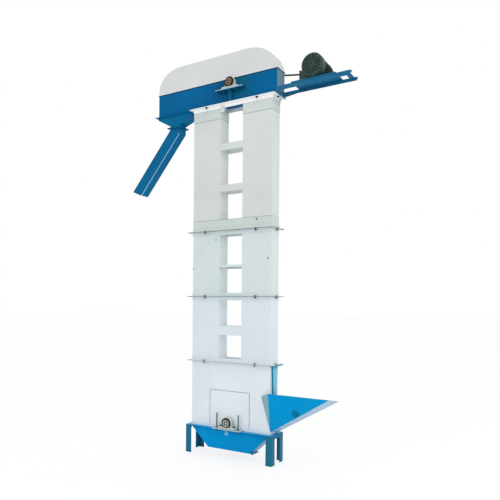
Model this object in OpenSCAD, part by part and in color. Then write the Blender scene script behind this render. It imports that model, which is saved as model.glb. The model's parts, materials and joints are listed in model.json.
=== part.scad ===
// Twin-leg bucket elevator for grain.
// Grain enters the inlet hopper, is carried up the right leg in buckets on a belt,
// is thrown off over the head drum and leaves by the discharge spout on the left.
// Frame while building: X to the right, Y to the rear, Z up, the shafts at X = 0,
// the casing centred on Y = 0 and the feet on Z = 0.

/* [Casing] */
// Width of one leg of the casing
leg_w = 305; // [260:5:360]
// Clear gap between the two legs
leg_gap = 245; // [200:5:300]
// Depth of the casing, front to rear
casing_d = 140; // [130:2:180]
// Thickness of the casing sheet
sheet_t = 2; // [1.5:0.5:3]
// Width of the angle flanges that join the sections
flange_w = 35; // [30:1:45]
// Thickness of the angle flanges
flange_t = 4; // [3:1:6]
// Height of the lower and of the middle section
section_h = 610; // [500:10:800]
// Height of the upper section
upper_h = 1185; // [900:5:1600]
// Height of the boot casing
boot_h = 615; // [560:5:700]
// Height of the tie bars between the legs
tie_h = 62; // [40:2:90]
// Height of the closing plate at the foot of the upper section
gap_plate_h = 107; // [60:1:140]
// Height of the lapped collar at the top of the upper section
top_collar_h = 130; // [80:5:200]
// Height of the lower section's tie bar above the foot of the section
lower_tie_z = 250; // [200:5:300]
// Height of the lower section's broad tie bar
lower_tie_h = 85; // [60:1:100]
// Height of the middle section's tie bar above the foot of the section
middle_tie_z = 268; // [200:2:320]
// Height of the middle section's narrow tie bar
middle_tie_h = 26; // [20:1:60]
// Height of the upper section's first tie bar above the foot of the section
upper_tie_z = 368; // [300:2:400]
// Step from the upper section's first tie bar to its second
upper_tie_step = 388; // [300:2:420]
// Width of the cover plates of the boot
cover_w = 430; // [400:5:440]
// Height of the cover plates of the boot
cover_h = 350; // [320:5:380]

/* [Base] */
// Height of the base frame above the floor
floor_h = 265; // [240:5:320]
// Leg width of the base angle iron
base_angle = 60; // [45:5:75]
// Thickness of the base angle iron
base_t = 5; // [4:1:8]
// How far the base frame stands out from the casing
base_out = 39; // [35:1:50]
// Height of the floor of the boot trough above the ground
trough_z = 70; // [60:2:90]
// Width of the flat floor of the trough
trough_floor_w = 460; // [420:10:520]
// Travel of the clean-out gate
gate_travel = 130; // [80:5:130]

/* [Inlet hopper] */
// Reach of the hopper beyond the boot
hopper_reach = 572; // [400:2:700]
// Height of the hopper rim above the ground
hopper_rim_z = 628; // [600:2:680]
// Height of the lower end of the hopper
hopper_low_z = 298; // [290:2:340]
// How far the rim flares out at the front and at the rear
hopper_flare = 45; // [20:1:60]
// Fall of the hopper from its front side to its rear side, per mm of depth
hopper_lean = 0.19; // [0:0.01:0.24]
// How far the wing plates lap back along the boot
wing_lap = 90; // [50:5:120]

/* [Head] */
// How far the head stands out to the left of the legs
head_out_left = 440.5; // [380:0.5:500]
// How far the head stands out to the right of the legs
head_out_right = 44.5; // [42:0.5:90]
// Height of the head band
band_h = 221; // [200:1:260]
// Height of the hood above the band
hood_h = 240; // [220:2:280]
// Width of the left shoulder of the hood
hood_left_w = 260; // [200:5:300]
// Height of the left shoulder of the hood
hood_left_h = 200; // [150:5:220]
// Width of the right shoulder of the hood
hood_right_w = 322; // [260:2:360]
// Height of the head shaft above the bottom of the head
head_shaft_up = 170; // [150:2:190]

/* [Discharge] */
// Distance of the middle of the spout stub from the legs
spout_out = 252.5; // [220:0.5:280]
// Width of the spout, seen from the front
spout_w = 118; // [90:2:130]
// Depth of the spout
spout_d = 92; // [70:2:110]
// Slope of the spout below the horizontal
spout_slope = 49.4; // [45:0.2:58]
// Length of the sloping spout along its middle
spout_len = 755; // [400:5:900]
// Slope of the cut at the open end
spout_cut = 22.5; // [10:0.5:35]
// Drop of the discharge transition
transition_drop = 100; // [80:5:110]

/* [Shafts and drums] */
// Diameter of the head and boot shafts
shaft_d = 45; // [30:1:50]
// Diameter of the drums
drum_d = 280; // [250:2:290]
// Face width of the drums
drum_w = 120; // [110:1:124]
// Shaft height of the pillow blocks
block_h = 54; // [48:1:60]
// Length of the pillow block foot
block_l = 190; // [170:2:210]
// Bolt spacing of the pillow blocks
block_bolts = 146; // [136:1:160]
// Depth of the pillow block foot
block_a = 54; // [46:1:56]
// Outside diameter of the bearing insert
insert_d = 85; // [80:1:90]
// Travel of the boot take-up
take_up_travel = 40; // [20:5:50]
// Diameter of the take-up rods
rod_d = 12; // [10:1:16]
// Distance of each take-up rod from the shaft
rod_x = 117; // [112:1:135]
// Height of the take-up rods above the base frame
rod_up = 146; // [130:2:180]

/* [Belt and buckets] */
// Width of the elevator belt
belt_w = 116; // [104:2:118]
// Thickness of the elevator belt
belt_t = 5; // [4:0.5:7]
// Width of each bucket
bucket_w = 100; // [80:2:102]
// Projection of each bucket from the belt
bucket_out = 98; // [70:2:100]
// Height of each bucket
bucket_h = 80; // [60:2:100]
// Number of buckets on each straight run
buckets_per_run = 14; // [10:1:16]

/* [Drive] */
// Outside diameter of the driven pulley
big_pulley_d = 324; // [280:4:460]
// Outside diameter of the motor pulley
small_pulley_d = 90; // [84:2:130]
// Distance of the motor from the head shaft
motor_x = 828; // [780:1:880]
// Length of the plate under the motor
motor_plate_l = 404; // [360:2:420]
// Distance between the two clamp bolts of each rail
clamp_pitch = 230; // [220:2:280]
// Shaft height of the motor above its feet
motor_h = 100; // [100:1:112]
// Outside diameter of the fan cowl
cowl_d = 194; // [160:2:198]
// Number of slots in the fan cowl
cowl_slots = 18; // [12:1:24]
// Number of cooling fins round the motor frame
fin_count = 32; // [20:2:40]
// Reach of the motor rails from the shaft line
rail_reach = 1160; // [1040:5:1200]
// Leg width of the front motor rail angle
rail_angle = 40; // [35:1:50]
// Leg width of the rear motor rail angle
rear_rail_angle = 30; // [28:1:50]
// Travel of the motor along its rails
motor_travel = 40; // [20:5:50]

/* [Fits] */
// Gap between flat faces that slide on each other
seat_gap = 0.3; // [0.2:0.05:0.5]
// Radial running clearance in the bearings
run_gap = 0.05; // [0.02:0.01:0.08]
// Gap between a belt and the pulley that it wraps
belt_gap = 0.3; // [0.2:0.05:0.5]
// Clearance on the diameter of bolt holes
bolt_gap = 1; // [0.5:0.1:2]

/* [Hidden] */

white = "#D6DBDB";
head_blue = "#0B5E96";
boot_blue = "#0A93D6";
base_blue = "#1F6F9C";
motor_green = "#3A4A48";
cast_grey = "#9AA5A0";
steel_grey = "#8E9498";
dark_steel = "#3C3F42";
belt_black = "#26282A";

$fn = 64;
eps = 0.5;

// Levels of the joints between the sections
z_boot = floor_h + boot_h;
z_lower = z_boot + section_h;
z_middle = z_lower + section_h;
z_head = z_middle + upper_h;
z_band = z_head + band_h;
z_hood = z_band + hood_h;
case_w = 2 * leg_w + leg_gap;
half_w = case_w / 2;
half_d = casing_d / 2;
leg_x = (leg_w + leg_gap) / 2;
flange_mid = flange_t + (flange_w - flange_t) / 2;
head_left = half_w + head_out_left;
head_right = half_w + head_out_right;
lap_t = 1.5;
m10 = 10;

// Shafts
shaft_r = shaft_d / 2;
drum_r = drum_d / 2;
take_plate_t = 8;
block_y = half_d + 3 + block_a / 2;
boot_z = floor_h + seat_gap + take_plate_t + block_h;
head_z = z_head + head_shaft_up;
bracket_top_z = head_z - block_h;
bracket_t = 8;
shaft_front = block_y + 28;
ring_w = 49;
inner_ring_d = shaft_d + 12;
race_w = 22;

// Base frame
base_x = half_w + base_out;
base_y = half_d + base_out;
ring_web_h = 35;
skirt_t = 3;
web_y = half_d + 2;
trough_y = web_y + skirt_t;

// Drive
belt_plane_y = 185;
motor_front_y = -142;
shield_front_y = -75;
frame_front_y = -60;
frame_rear_y = 120;
motor_shoulder_y = 158;
motor_shaft_end_y = 218;
foot_bolt_y = [-40, 100];
foot_bolt_x = 80;
motor_plate_t = 8;
rail_t = 4;
end_plate_t = 9;
rail_front_y = -109;
rail_rear_y = 47;
slot_y = [rail_front_y + (rail_t + rail_angle) / 2, rail_rear_y + (rail_t + rear_rail_angle) / 2];
rail_top = z_head + 37;
motor_z = rail_top + seat_gap + motor_plate_t + motor_h;
motor_shaft_d = 28;
clamp_x = clamp_pitch / 2;
plate_half = motor_plate_l / 2;
plate_front_y = -115;
plate_rear_y = 120;
rim_w = 32;
vee_out = 4;
vee_depth = 13;
vee_w = 17;
big_r = big_pulley_d / 2;
small_r = small_pulley_d / 2;
rear_shaft_y = belt_plane_y + 30;

// Inlet hopper
hopper_x = half_w + hopper_reach;
inlet_z0 = hopper_low_z + 8;
inlet_z1 = hopper_rim_z - 30;
hopper_y = half_d + hopper_flare;

// Discharge
spout_x = half_w + spout_out;
spout_top_z = z_head - transition_drop - 20;
bend_z = spout_top_z - 34;
spout_end = [-spout_x - spout_len * cos(spout_slope), bend_z - spout_len * sin(spout_slope)];
cut_half = spout_w / 2 / sin(180 - spout_slope - spout_cut);
spout_corner = [spout_end[0] - cut_half * cos(spout_cut), spout_end[1] + cut_half * sin(spout_cut)];
out_x0 = -head_left;
out_x1 = -half_w - flange_w - 8;

// The finished model stands with the middle of its bounding box over the origin
place_x = -(spout_corner[0] + rail_reach) / 2;
place_y = -(motor_front_y + motor_shaft_end_y) / 2;

module place() {
    translate([place_x, place_y, 0]) children();
}

// Bar with its corners at two points
module block(p, q) {
    translate(p) cube(q - p);
}

// Cylinder along Y between two Y values
module y_cyl(r, y0, y1) {
    translate([0, y1, 0]) rotate([90, 0, 0]) cylinder(r = r, h = y1 - y0);
}

// Hexagonal nut or head along Z, standing on Z = 0
module hex(across, h) {
    cylinder(d = across / cos(30), h = h, $fn = 6);
}

// Vertical bolt: head on top at z1, nut below z0
module bolt_z(d, z0, z1) {
    across = 1.6 * d;
    translate([0, 0, z1]) hex(across, 0.65 * d);
    translate([0, 0, z0 - 1.5 * d]) cylinder(d = d, h = z1 - z0 + 1.5 * d);
    translate([0, 0, z0 - 0.8 * d]) hex(across, 0.8 * d);
}

// Profile in X and Z, extruded along Y between two Y values
module xz_plate(points, y0, y1) {
    translate([0, y1, 0]) rotate([90, 0, 0]) linear_extrude(y1 - y0) polygon(points);
}

// Rectangular frame lying flat: outer half sizes, inner half sizes, height
module flat_ring(ox, oy, ix, iy, h) {
    difference() {
        translate([-ox, -oy, 0]) cube([2 * ox, 2 * oy, h]);
        translate([-ix, -iy, -eps]) cube([2 * ix, 2 * iy, h + 2 * eps]);
    }
}

// Places of the flange bolts round one joint
flange_bolt_at = [
    [-leg_x, -half_d - flange_mid], [leg_x, -half_d - flange_mid],
    [-leg_x, half_d + flange_mid], [leg_x, half_d + flange_mid],
    [-half_w - flange_mid, 0], [half_w + flange_mid, 0]];

module flange_holes(z) {
    for (p = flange_bolt_at)
        translate([p[0], p[1], z - flange_t - eps])
            cylinder(d = m10 + bolt_gap, h = 2 * flange_t + 2 * eps);
}

// Angle flange round both legs, its flat leg on the side that dir names
module angle_flange(z, dir) {
    flat_z = dir > 0 ? z : z - flange_t;
    web_z = dir > 0 ? z : z - flange_w;
    difference() {
        union() {
            translate([0, 0, flat_z])
                flat_ring(half_w + flange_w, half_d + flange_w, half_w, half_d, flange_t);
            translate([0, 0, web_z])
                flat_ring(half_w + flange_t, half_d + flange_t, half_w, half_d, flange_w);
        }
        flange_holes(z);
    }
}

// Tie bars across the gap, one at the front and one at the rear
module tie_pair(z, h) {
    for (side = [-1, 1])
        translate([0, side * (half_d - 6), z])
            translate([-leg_gap / 2, -6, 0]) cube([leg_gap, 12, h]);
}

module duct(side, z0, z1) {
    color(white)
        translate([side * leg_x, 0, z0])
            difference() {
                translate([-leg_w / 2, -half_d, 0]) cube([leg_w, casing_d, z1 - z0]);
                translate([-leg_w / 2 + sheet_t, -half_d + sheet_t, -eps])
                    cube([leg_w - 2 * sheet_t, casing_d - 2 * sheet_t, z1 - z0 + 2 * eps]);
            }
}

// Base frame: flat flange on top, webs that hold the trough, side webs and take-up holes
module base_frame() {
    top = floor_h;
    color(base_blue)
        difference() {
            union() {
                translate([0, 0, top - base_t])
                    flat_ring(base_x, base_y, half_w - 4, half_d - 2, base_t);
                for (side = [-1, 1]) {
                    block([-half_w + 60, min(side * web_y, side * (half_d - 2)), top - ring_web_h],
                          [half_w - 60, max(side * web_y, side * (half_d - 2)), top - base_t + 0.01]);
                    translate([side * (base_x - base_t / 2), 0, top - ring_web_h / 2 - base_t / 2])
                        cube([base_t, 2 * base_y - 2 * base_t, ring_web_h - base_t + 0.01], center = true);
                }
            }
            for (sx = [-1, 1], sy = [-1, 1])
                translate([sx * rod_x, sy * block_y, top - base_t - eps])
                    cylinder(d = rod_d + bolt_gap, h = base_t + 2 * eps);
        }
}

// Angle-iron leg under one corner, with a rounded gusset beside its front face
module base_leg(sx, sy) {
    h = floor_h - base_t;
    gusset = 32;
    color(base_blue)
        translate([sx * base_x, sy * base_y, 0])
            mirror([sx > 0 ? 1 : 0, 0, 0]) mirror([0, sy > 0 ? 1 : 0, 0]) {
                difference() {
                    cube([base_angle, base_angle, h]);
                    translate([base_t, base_t, -eps])
                        cube([base_angle, base_angle, h + 2 * eps]);
                    translate([-eps, base_t, h - ring_web_h + base_t])
                        cube([base_t + 2 * eps, base_angle, ring_web_h]);
                }
                difference() {
                    translate([base_angle, 0, h - gusset]) cube([gusset, base_t, gusset]);
                    translate([base_angle + gusset, -eps, h - gusset])
                        rotate([-90, 0, 0]) cylinder(r = gusset, h = base_t + 2 * eps);
                }
            }
}

// Trapezoid outline of the trough, drawn in by the sheet
function trough_outline(inset) =
    let (top_x = half_w - inset, low_x = trough_floor_w / 2 - inset * 0.42,
         z1 = floor_h - base_t, z0 = trough_z + inset)
    [[-top_x, z1 + (inset > 0 ? eps : 0)], [-low_x, z0], [low_x, z0], [top_x, z1 + (inset > 0 ? eps : 0)]];

gate_x0 = 90;
gate_x1 = 240;
gate_half = 45;
gate_t = 3;
gate_z = trough_z - seat_gap - gate_t;

// Boot trough with sloping ends, a clean-out hole in its floor and runners for the gate
module boot_trough() {
    lip = 6;
    color(boot_blue) {
        difference() {
            xz_plate(trough_outline(0), -trough_y, trough_y);
            xz_plate(trough_outline(skirt_t), -web_y, web_y);
            translate([gate_x0 + 20, -gate_half + 8, trough_z - eps])
                cube([gate_x1 - gate_x0 - 40, 2 * gate_half - 16, skirt_t + 2 * eps]);
        }
        for (side = [-1, 1])
            mirror([0, side < 0 ? 1 : 0, 0])
                translate([gate_x0 - 8, 0, 0]) {
                    length = gate_x1 - gate_x0 - 4;
                    translate([0, gate_half + seat_gap, gate_z - seat_gap - gate_t])
                        cube([length, gate_t, trough_z - gate_z + seat_gap + gate_t]);
                    translate([0, gate_half - lip, gate_z - seat_gap - gate_t])
                        cube([length, lip + seat_gap + eps, gate_t]);
                }
    }
}

// Sliding gate under the trough, with a pull lug turned up in front of it
module cleanout_gate() {
    lug = 20;
    color(dark_steel) {
        block([gate_x0, -gate_half, gate_z], [gate_x1, gate_half, gate_z + gate_t]);
        block([gate_x1 - 0.01, -trough_y - seat_gap - gate_t, gate_z],
              [gate_x1 + lug, gate_half, gate_z + gate_t]);
        block([gate_x1, -trough_y - seat_gap - gate_t, gate_z],
              [gate_x1 + lug, -trough_y - seat_gap, gate_z + 36]);
    }
}

cover_half = cover_w / 2;
cover_top = floor_h + cover_h;
cover_t = 2;

module shaft_slot(wall_y, depth) {
    slot_r = shaft_r + 6;
    for (z = [boot_z, boot_z + take_up_travel])
        translate([0, wall_y, z]) y_cyl(slot_r, -depth, depth);
    block([-slot_r, wall_y - depth, boot_z], [slot_r, wall_y + depth, boot_z + take_up_travel]);
}

// White boot box: a door opening at the front and rear, the inlet at the right,
// an open bottom and an angle flange on top
module boot_casing() {
    color(white)
        difference() {
            union() {
                block([-half_w, -half_d, floor_h], [half_w, half_d, z_boot]);
                translate([0, 0, z_boot - flange_t])
                    flat_ring(half_w + flange_w, half_d + flange_w, half_w - 1, half_d - 1, flange_t);
            }
            block([-half_w + sheet_t, -half_d + sheet_t, floor_h - eps],
                  [half_w - sheet_t, half_d - sheet_t, z_boot - sheet_t]);
            for (side = [-1, 1])
                block([side * leg_x - leg_w / 2 + sheet_t, -half_d + sheet_t, z_boot - 2 * sheet_t],
                      [side * leg_x + leg_w / 2 - sheet_t, half_d - sheet_t, z_boot + eps]);
            block([-cover_half + 20, -half_d - eps, floor_h - eps],
                  [cover_half - 20, half_d + eps, cover_top - 20]);
            block([half_w - sheet_t - eps, -half_d + sheet_t, inlet_z0],
                  [half_w + eps, half_d - sheet_t, inlet_z1]);
            flange_holes(z_boot);
        }
}

// Cover plate over the door opening, with the slot in which the shaft is adjusted
module boot_cover(side) {
    y0 = side > 0 ? half_d : -half_d - cover_t;
    color(white)
        difference() {
            block([-cover_half, y0, floor_h], [cover_half, y0 + cover_t, cover_top]);
            shaft_slot(y0 + cover_t / 2, cover_t);
        }
}

// Point lowered by the lean of the hopper
function leaned(p) = [p[0], p[1], p[2] - hopper_lean * (p[1] + half_d)];

// Wedge of the hopper, drawn in by t on every face
module hopper_wedge(t, rise) {
    x0 = half_w + (t > 0 ? -eps : 0);
    x1 = hopper_x - 1.9 * t;
    z1 = hopper_rim_z + rise;
    grow = 1 + rise / (hopper_rim_z - hopper_low_z);
    y1 = half_d - 1.2 * t + hopper_flare * grow;
    y0 = half_d - 1.2 * t;
    x2 = half_w + (x1 - half_w) * grow;
    toe = half_w + 18 - t / 2;
    low = hopper_low_z + t;
    corners = [[x0, -y0, low], [x0, y0, low], [toe, -y0, low], [toe, y0, low],
               [x0, -y1, z1], [x0, y1, z1], [x2, -y1, z1], [x2, y1, z1]];
    polyhedron(
        points = [for (p = corners) leaned(p)],
        faces = [[0, 2, 3, 1], [4, 5, 7, 6], [0, 1, 5, 4], [2, 6, 7, 3], [0, 4, 6, 2], [1, 3, 7, 5]]);
}

// Triangular wing between the flared side of the hopper and the face of the boot:
// a bent sheet with one corner on the boot and two on the edge of the hopper
module hopper_wing(side) {
    t = sheet_t;
    edge_x = half_w + t;
    lap_x = half_w - wing_lap;
    face_y = half_d + seat_gap;
    low = hopper_low_z + 6;
    top = hopper_rim_z;
    corners = [[lap_x, face_y, top - 30], [edge_x, hopper_y - t, top], [edge_x, face_y, low],
               [lap_x, face_y + t, top - 30], [edge_x, hopper_y, top], [edge_x, face_y + t, low]];
    front = [[0, 2, 1], [3, 4, 5], [0, 1, 4, 3], [1, 2, 5, 4], [2, 0, 3, 5]];
    rear = [for (face = front) [for (i = [len(face) - 1 : -1 : 0]) face[i]]];
    polyhedron(
        points = [for (p = corners) leaned([p[0], side * p[1], p[2]])],
        faces = side < 0 ? front : rear);
}

// Feed hopper: flared front and rear, sloping floor, wings on the boot
module inlet_hopper() {
    color(boot_blue) {
        difference() {
            hopper_wedge(0, 0);
            hopper_wedge(sheet_t, 20);
        }
        for (side = [-1, 1]) hopper_wing(side);
    }
}

// Blue side plate that stiffens the boot between the hopper and the flange:
// its lower edge follows the hopper, its front edge is folded out
module inlet_side_plate() {
    t = 3;
    fold = 16;
    y_low = [-half_d + 34, half_d - 24];
    z_low = [for (y = y_low) leaned([0, y, hopper_rim_z + 2])[2]];
    z1 = z_boot - flange_t;
    color(boot_blue) {
        translate([half_w, 0, 0]) rotate([90, 0, 90]) {
            linear_extrude(t)
                polygon([[y_low[0], z_low[0]], [y_low[1], z_low[1]], [half_d, z1], [-half_d + 20, z1]]);
            linear_extrude(fold)
                polygon([[y_low[0], z_low[0]], [y_low[0] + t, z_low[0]],
                         [-half_d + 20 + t, z1], [-half_d + 20, z1]]);
        }
        difference() {
            block([half_w, -half_d + 20, z1 - t], [half_w + flange_w + 30, half_d, z1]);
            translate([half_w + flange_mid, 0, z1 - t - eps]) cylinder(d = 2.2 * m10, h = t + 2 * eps);
        }
    }
}

// Angle flanges and ties that join the two legs of one section
module section_frame(z0, z1, ties) {
    color(white) {
        angle_flange(z0, 1);
        angle_flange(z1, -1);
        for (tie = ties) tie_pair(tie[0], tie[1]);
    }
}

module lower_frame() {
    section_frame(z_boot, z_lower, [[z_boot + lower_tie_z, lower_tie_h]]);
}

module middle_frame() {
    section_frame(z_lower, z_middle, [[z_lower + middle_tie_z, middle_tie_h]]);
}

module upper_frame() {
    gusset = 80;
    first = z_middle + upper_tie_z;
    start = lap_t + seat_gap;
    section_frame(z_middle, z_head, [[first, tie_h], [first + upper_tie_step, tie_h]]);
    color(white)
        for (side = [-1, 1])
            translate([half_w, side * (half_d - 22), z_head - flange_t])
                xz_plate([[start, 0], [flange_w - 2, 0], [start, -gusset]], -2, 2);
}

// Lapped sheets: a belt round the foot of the upper section that also closes the gap,
// and a collar round the top of each leg
module upper_collars() {
    z0 = z_middle + flange_w;
    z1 = z_head - top_collar_h;
    color(white) {
        translate([0, 0, z0])
            flat_ring(half_w + lap_t, half_d + lap_t, half_w, half_d, gap_plate_h - flange_w);
        for (side = [-1, 1])
            translate([side * leg_x, 0, z1])
                flat_ring(leg_w / 2 + lap_t, half_d + lap_t, leg_w / 2, half_d, top_collar_h - flange_w);
    }
}

module casing_bolts() {
    color(dark_steel)
        for (z = [z_boot, z_lower, z_middle, z_head], p = flange_bolt_at)
            translate([p[0], p[1], 0]) bolt_z(m10, z - flange_t, z + flange_t);
}

// Head casing: the deep blue band with a flange plate under it
module head_casing() {
    color(head_blue)
        difference() {
            union() {
                block([-head_left, -half_d, z_head], [head_right, half_d, z_band]);
                block([-half_w - flange_w, -half_d - flange_w, z_head],
                      [head_right, half_d + flange_w, z_head + flange_t]);
            }
            block([-head_left + sheet_t, -half_d + sheet_t, z_head + flange_t],
                  [head_right - sheet_t, half_d - sheet_t, z_band + eps]);
            for (side = [-1, 1])
                block([side * leg_x - leg_w / 2 + sheet_t, -half_d + sheet_t, z_head - eps],
                      [side * leg_x + leg_w / 2 - sheet_t, half_d - sheet_t, z_head + flange_t + eps]);
            block([out_x0 + sheet_t, -half_d + sheet_t, z_head - eps],
                  [out_x1 - sheet_t, half_d - sheet_t, z_head + flange_t + eps]);
            translate([0, 0, head_z]) y_cyl(shaft_r + 6, -half_d - eps, half_d + eps);
            flange_holes(z_head);
        }
}

// Outline of the hood: elliptical shoulders of different width, drawn in by t
function shoulder(cx, cz, rx, rz, a0, a1) =
    [for (i = [0 : 14]) let (a = a0 + (a1 - a0) * i / 14) [cx + rx * cos(a), cz + rz * sin(a)]];
function hood_outline(t, drop) =
    concat([[head_right - t, z_band - drop]],
           shoulder(head_right - hood_right_w, z_band, hood_right_w - t, hood_h - t, 0, 90),
           shoulder(-head_left + hood_left_w, z_hood - hood_left_h, hood_left_w - t, hood_left_h - t, 90, 180),
           [[-head_left + t, z_band - drop]]);

// White hood with rounded shoulders and a narrow rolled lip
module head_hood() {
    lip = 7;
    color(white) {
        difference() {
            xz_plate(hood_outline(0, 0), -half_d, half_d);
            xz_plate(hood_outline(sheet_t, eps), -half_d + sheet_t, half_d - sheet_t);
        }
        difference() {
            block([-head_left - lip, -half_d - lip, z_band], [head_right + lip, half_d + lip, z_band + lip]);
            block([-head_left + sheet_t / 2, -half_d + sheet_t / 2, z_band - eps],
                  [head_right - sheet_t / 2, half_d - sheet_t / 2, z_band + lip + eps]);
        }
    }
}

// Bracket in front of the band that carries a pillow block: plate, post and web
module head_bracket(side) {
    out = block_y + block_a / 2 + 2;
    post = 13;
    color(head_blue)
        mirror([0, side > 0 ? 1 : 0, 0])
            difference() {
                union() {
                    block([-150, -out, bracket_top_z - bracket_t], [150, -half_d, bracket_top_z]);
                    block([-post, -half_d - flange_w + 1, z_head + flange_t],
                          [post, -half_d, bracket_top_z - bracket_t]);
                    rotate([90, 0, 90]) translate([0, 0, -4])
                        linear_extrude(8)
                            polygon([[-half_d - flange_w + 1, z_head + 50],
                                     [-out + 4, bracket_top_z - bracket_t],
                                     [-half_d - flange_w + 1, bracket_top_z - bracket_t]]);
                }
                for (sx = [-1, 1])
                    translate([sx * block_bolts / 2, -block_y, bracket_top_z - bracket_t - eps])
                        cylinder(d = 14 + bolt_gap, h = bracket_t + 2 * eps);
            }
}

// Pillow block housing with its outer race, shaft axis along Y at the origin
module pillow_block() {
    foot_h = 20;
    cap_r = insert_d / 2 + 10;
    body_a = block_a * 0.7;
    color(cast_grey)
        difference() {
            union() {
                block([-block_l / 2 + 14, -block_a / 2, -block_h],
                      [block_l / 2 - 14, block_a / 2, -block_h + foot_h]);
                for (sx = [-1, 1])
                    translate([sx * (block_l / 2 - 14), 0, -block_h])
                        intersection() {
                            translate([-14, -block_a / 2, 0]) cube([28, block_a, foot_h]);
                            cylinder(r = block_a / 2, h = foot_h);
                        }
                y_cyl(cap_r, -body_a / 2, body_a / 2);
                xz_plate([[-cap_r, 0], [-cap_r - 5, -block_h + foot_h - eps],
                          [cap_r + 5, -block_h + foot_h - eps], [cap_r, 0]], -body_a / 2, body_a / 2);
                translate([0, 0, cap_r - 4]) cylinder(d = 12, h = 9);
            }
            y_cyl(insert_d / 2, -block_a, block_a);
            for (sx = [-1, 1])
                translate([sx * block_bolts / 2, 0, -block_h - eps])
                    cylinder(d = 14 + bolt_gap, h = foot_h + 2 * eps);
        }
    color(dark_steel)
        difference() {
            y_cyl(insert_d / 2, -race_w / 2, race_w / 2);
            y_cyl(inner_ring_d / 2 + run_gap, -race_w, race_w);
        }
}

module head_block(side) {
    translate([0, side * block_y, head_z]) pillow_block();
}

module boot_block(side) {
    translate([0, side * block_y, boot_z]) pillow_block();
}

// Bolts of the head pillow blocks
module head_fasteners() {
    color(dark_steel)
        for (sx = [-1, 1], sy = [-1, 1])
            translate([sx * block_bolts / 2, sy * block_y, 0])
                bolt_z(14, bracket_top_z - bracket_t, bracket_top_z + 20);
}

function lerp(a, b, t) = a + (b - a) * t;

// Box that narrows from one rectangle to another: [x0, x1, half depth, z] each
module taper(a, b) {
    polyhedron(
        points = [[a[0], -a[2], a[3]], [a[1], -a[2], a[3]], [a[1], a[2], a[3]], [a[0], a[2], a[3]],
                  [b[0], -b[2], b[3]], [b[1], -b[2], b[3]], [b[1], b[2], b[3]], [b[0], b[2], b[3]]],
        faces = [[0, 1, 2, 3], [7, 6, 5, 4], [0, 4, 5, 1], [1, 5, 6, 2], [2, 6, 7, 3], [3, 7, 4, 0]]);
}

// Discharge transition under the overhang of the head: flange, tapering box and collar
module discharge_transition() {
    t = sheet_t;
    z0 = z_head;
    z1 = z_head - 26;
    z2 = spout_top_z + 24;
    x_l = -spout_x - spout_w / 2 - t;
    x_r = -spout_x + spout_w / 2 + t;
    y_t = spout_d / 2 + t;
    color(head_blue)
        difference() {
            union() {
                block([out_x0 - 28, -half_d - 28, z0 - flange_t], [out_x1 + 4, half_d + 28, z0]);
                block([out_x0 - flange_t, -half_d - flange_t, z1], [out_x1, half_d + flange_t, z0]);
                taper([x_l, x_r, y_t, z2], [out_x0, out_x1, half_d, z1]);
                block([x_l - 22, -y_t - 22, spout_top_z], [x_r + 22, y_t + 22, spout_top_z + flange_t]);
                block([x_l, -y_t, spout_top_z], [x_r, y_t, z2]);
            }
            block([out_x0 + t, -half_d + t, z1 - 0.01], [out_x1 - t, half_d - t, z0 + eps]);
            taper([x_l + t, x_r - t, y_t - t, z2], [out_x0 + t, out_x1 - t, half_d - t, z1]);
            block([x_l + t, -y_t + t, spout_top_z - eps], [x_r - t, y_t - t, z2 + 0.01]);
        }
}

// Outline of the spout, drawn in by t
function spout_outline(t, over) =
    let (h = spout_w / 2 - t, k = h * tan((90 - spout_slope) / 2),
         ch = h / sin(180 - spout_slope - spout_cut),
         e = spout_end - over * [cos(spout_slope), sin(spout_slope)])
    [[-spout_x - h, spout_top_z + over], [-spout_x - h, bend_z + k],
     [e[0] - ch * cos(spout_cut), e[1] + ch * sin(spout_cut)],
     [e[0] + ch * cos(spout_cut), e[1] - ch * sin(spout_cut)],
     [-spout_x + h, bend_z - k], [-spout_x + h, spout_top_z + over]];

// Square spout: a short drop, a mitred bend and a long sloping pipe with a top flange
module discharge_spout() {
    color(head_blue) {
        difference() {
            union() {
                xz_plate(spout_outline(0, 0), -spout_d / 2, spout_d / 2);
                translate([-spout_x, 0, spout_top_z - flange_t])
                    flat_ring(spout_w / 2 + 24, spout_d / 2 + 24, spout_w / 2 - 1, spout_d / 2 - 1, flange_t);
            }
            xz_plate(spout_outline(sheet_t, eps), -spout_d / 2 + sheet_t, spout_d / 2 - sheet_t);
        }
    }
}

// Motor rail: angle iron along X with its flat leg on top and its web in front,
// slotted for the clamp bolts
module motor_rail(y, angle, y_slot) {
    x0 = head_right + end_plate_t;
    color(base_blue)
        difference() {
            union() {
                block([x0, y, rail_top - rail_t], [rail_reach, y + angle, rail_top]);
                block([x0, y, rail_top - angle], [rail_reach, y + rail_t, rail_top]);
            }
            for (sx = [-1, 1])
                translate([motor_x + sx * clamp_x, y_slot, rail_top - rail_t - eps]) {
                    for (dx = [-motor_travel - 1, 1])
                        translate([dx, 0, 0]) cylinder(d = m10 + bolt_gap, h = rail_t + 2 * eps);
                    translate([-motor_travel - 1, -(m10 + bolt_gap) / 2, 0])
                        cube([motor_travel + 2, m10 + bolt_gap, rail_t + 2 * eps]);
                }
        }
}

// End plate that holds the rails to the head, and the cross bar at their outer ends,
// welded under the flat leg of the front rail and to the web of the rear rail
module rail_cross_bars() {
    color(base_blue) {
        block([head_right, rail_front_y, rail_top - rail_angle],
              [head_right + end_plate_t, rail_rear_y + rear_rail_angle, rail_top]);
        block([rail_reach - 60, rail_front_y + rail_t, rail_top - rail_t - 8],
              [rail_reach - 20, rail_rear_y, rail_top - rail_t]);
    }
}

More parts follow.
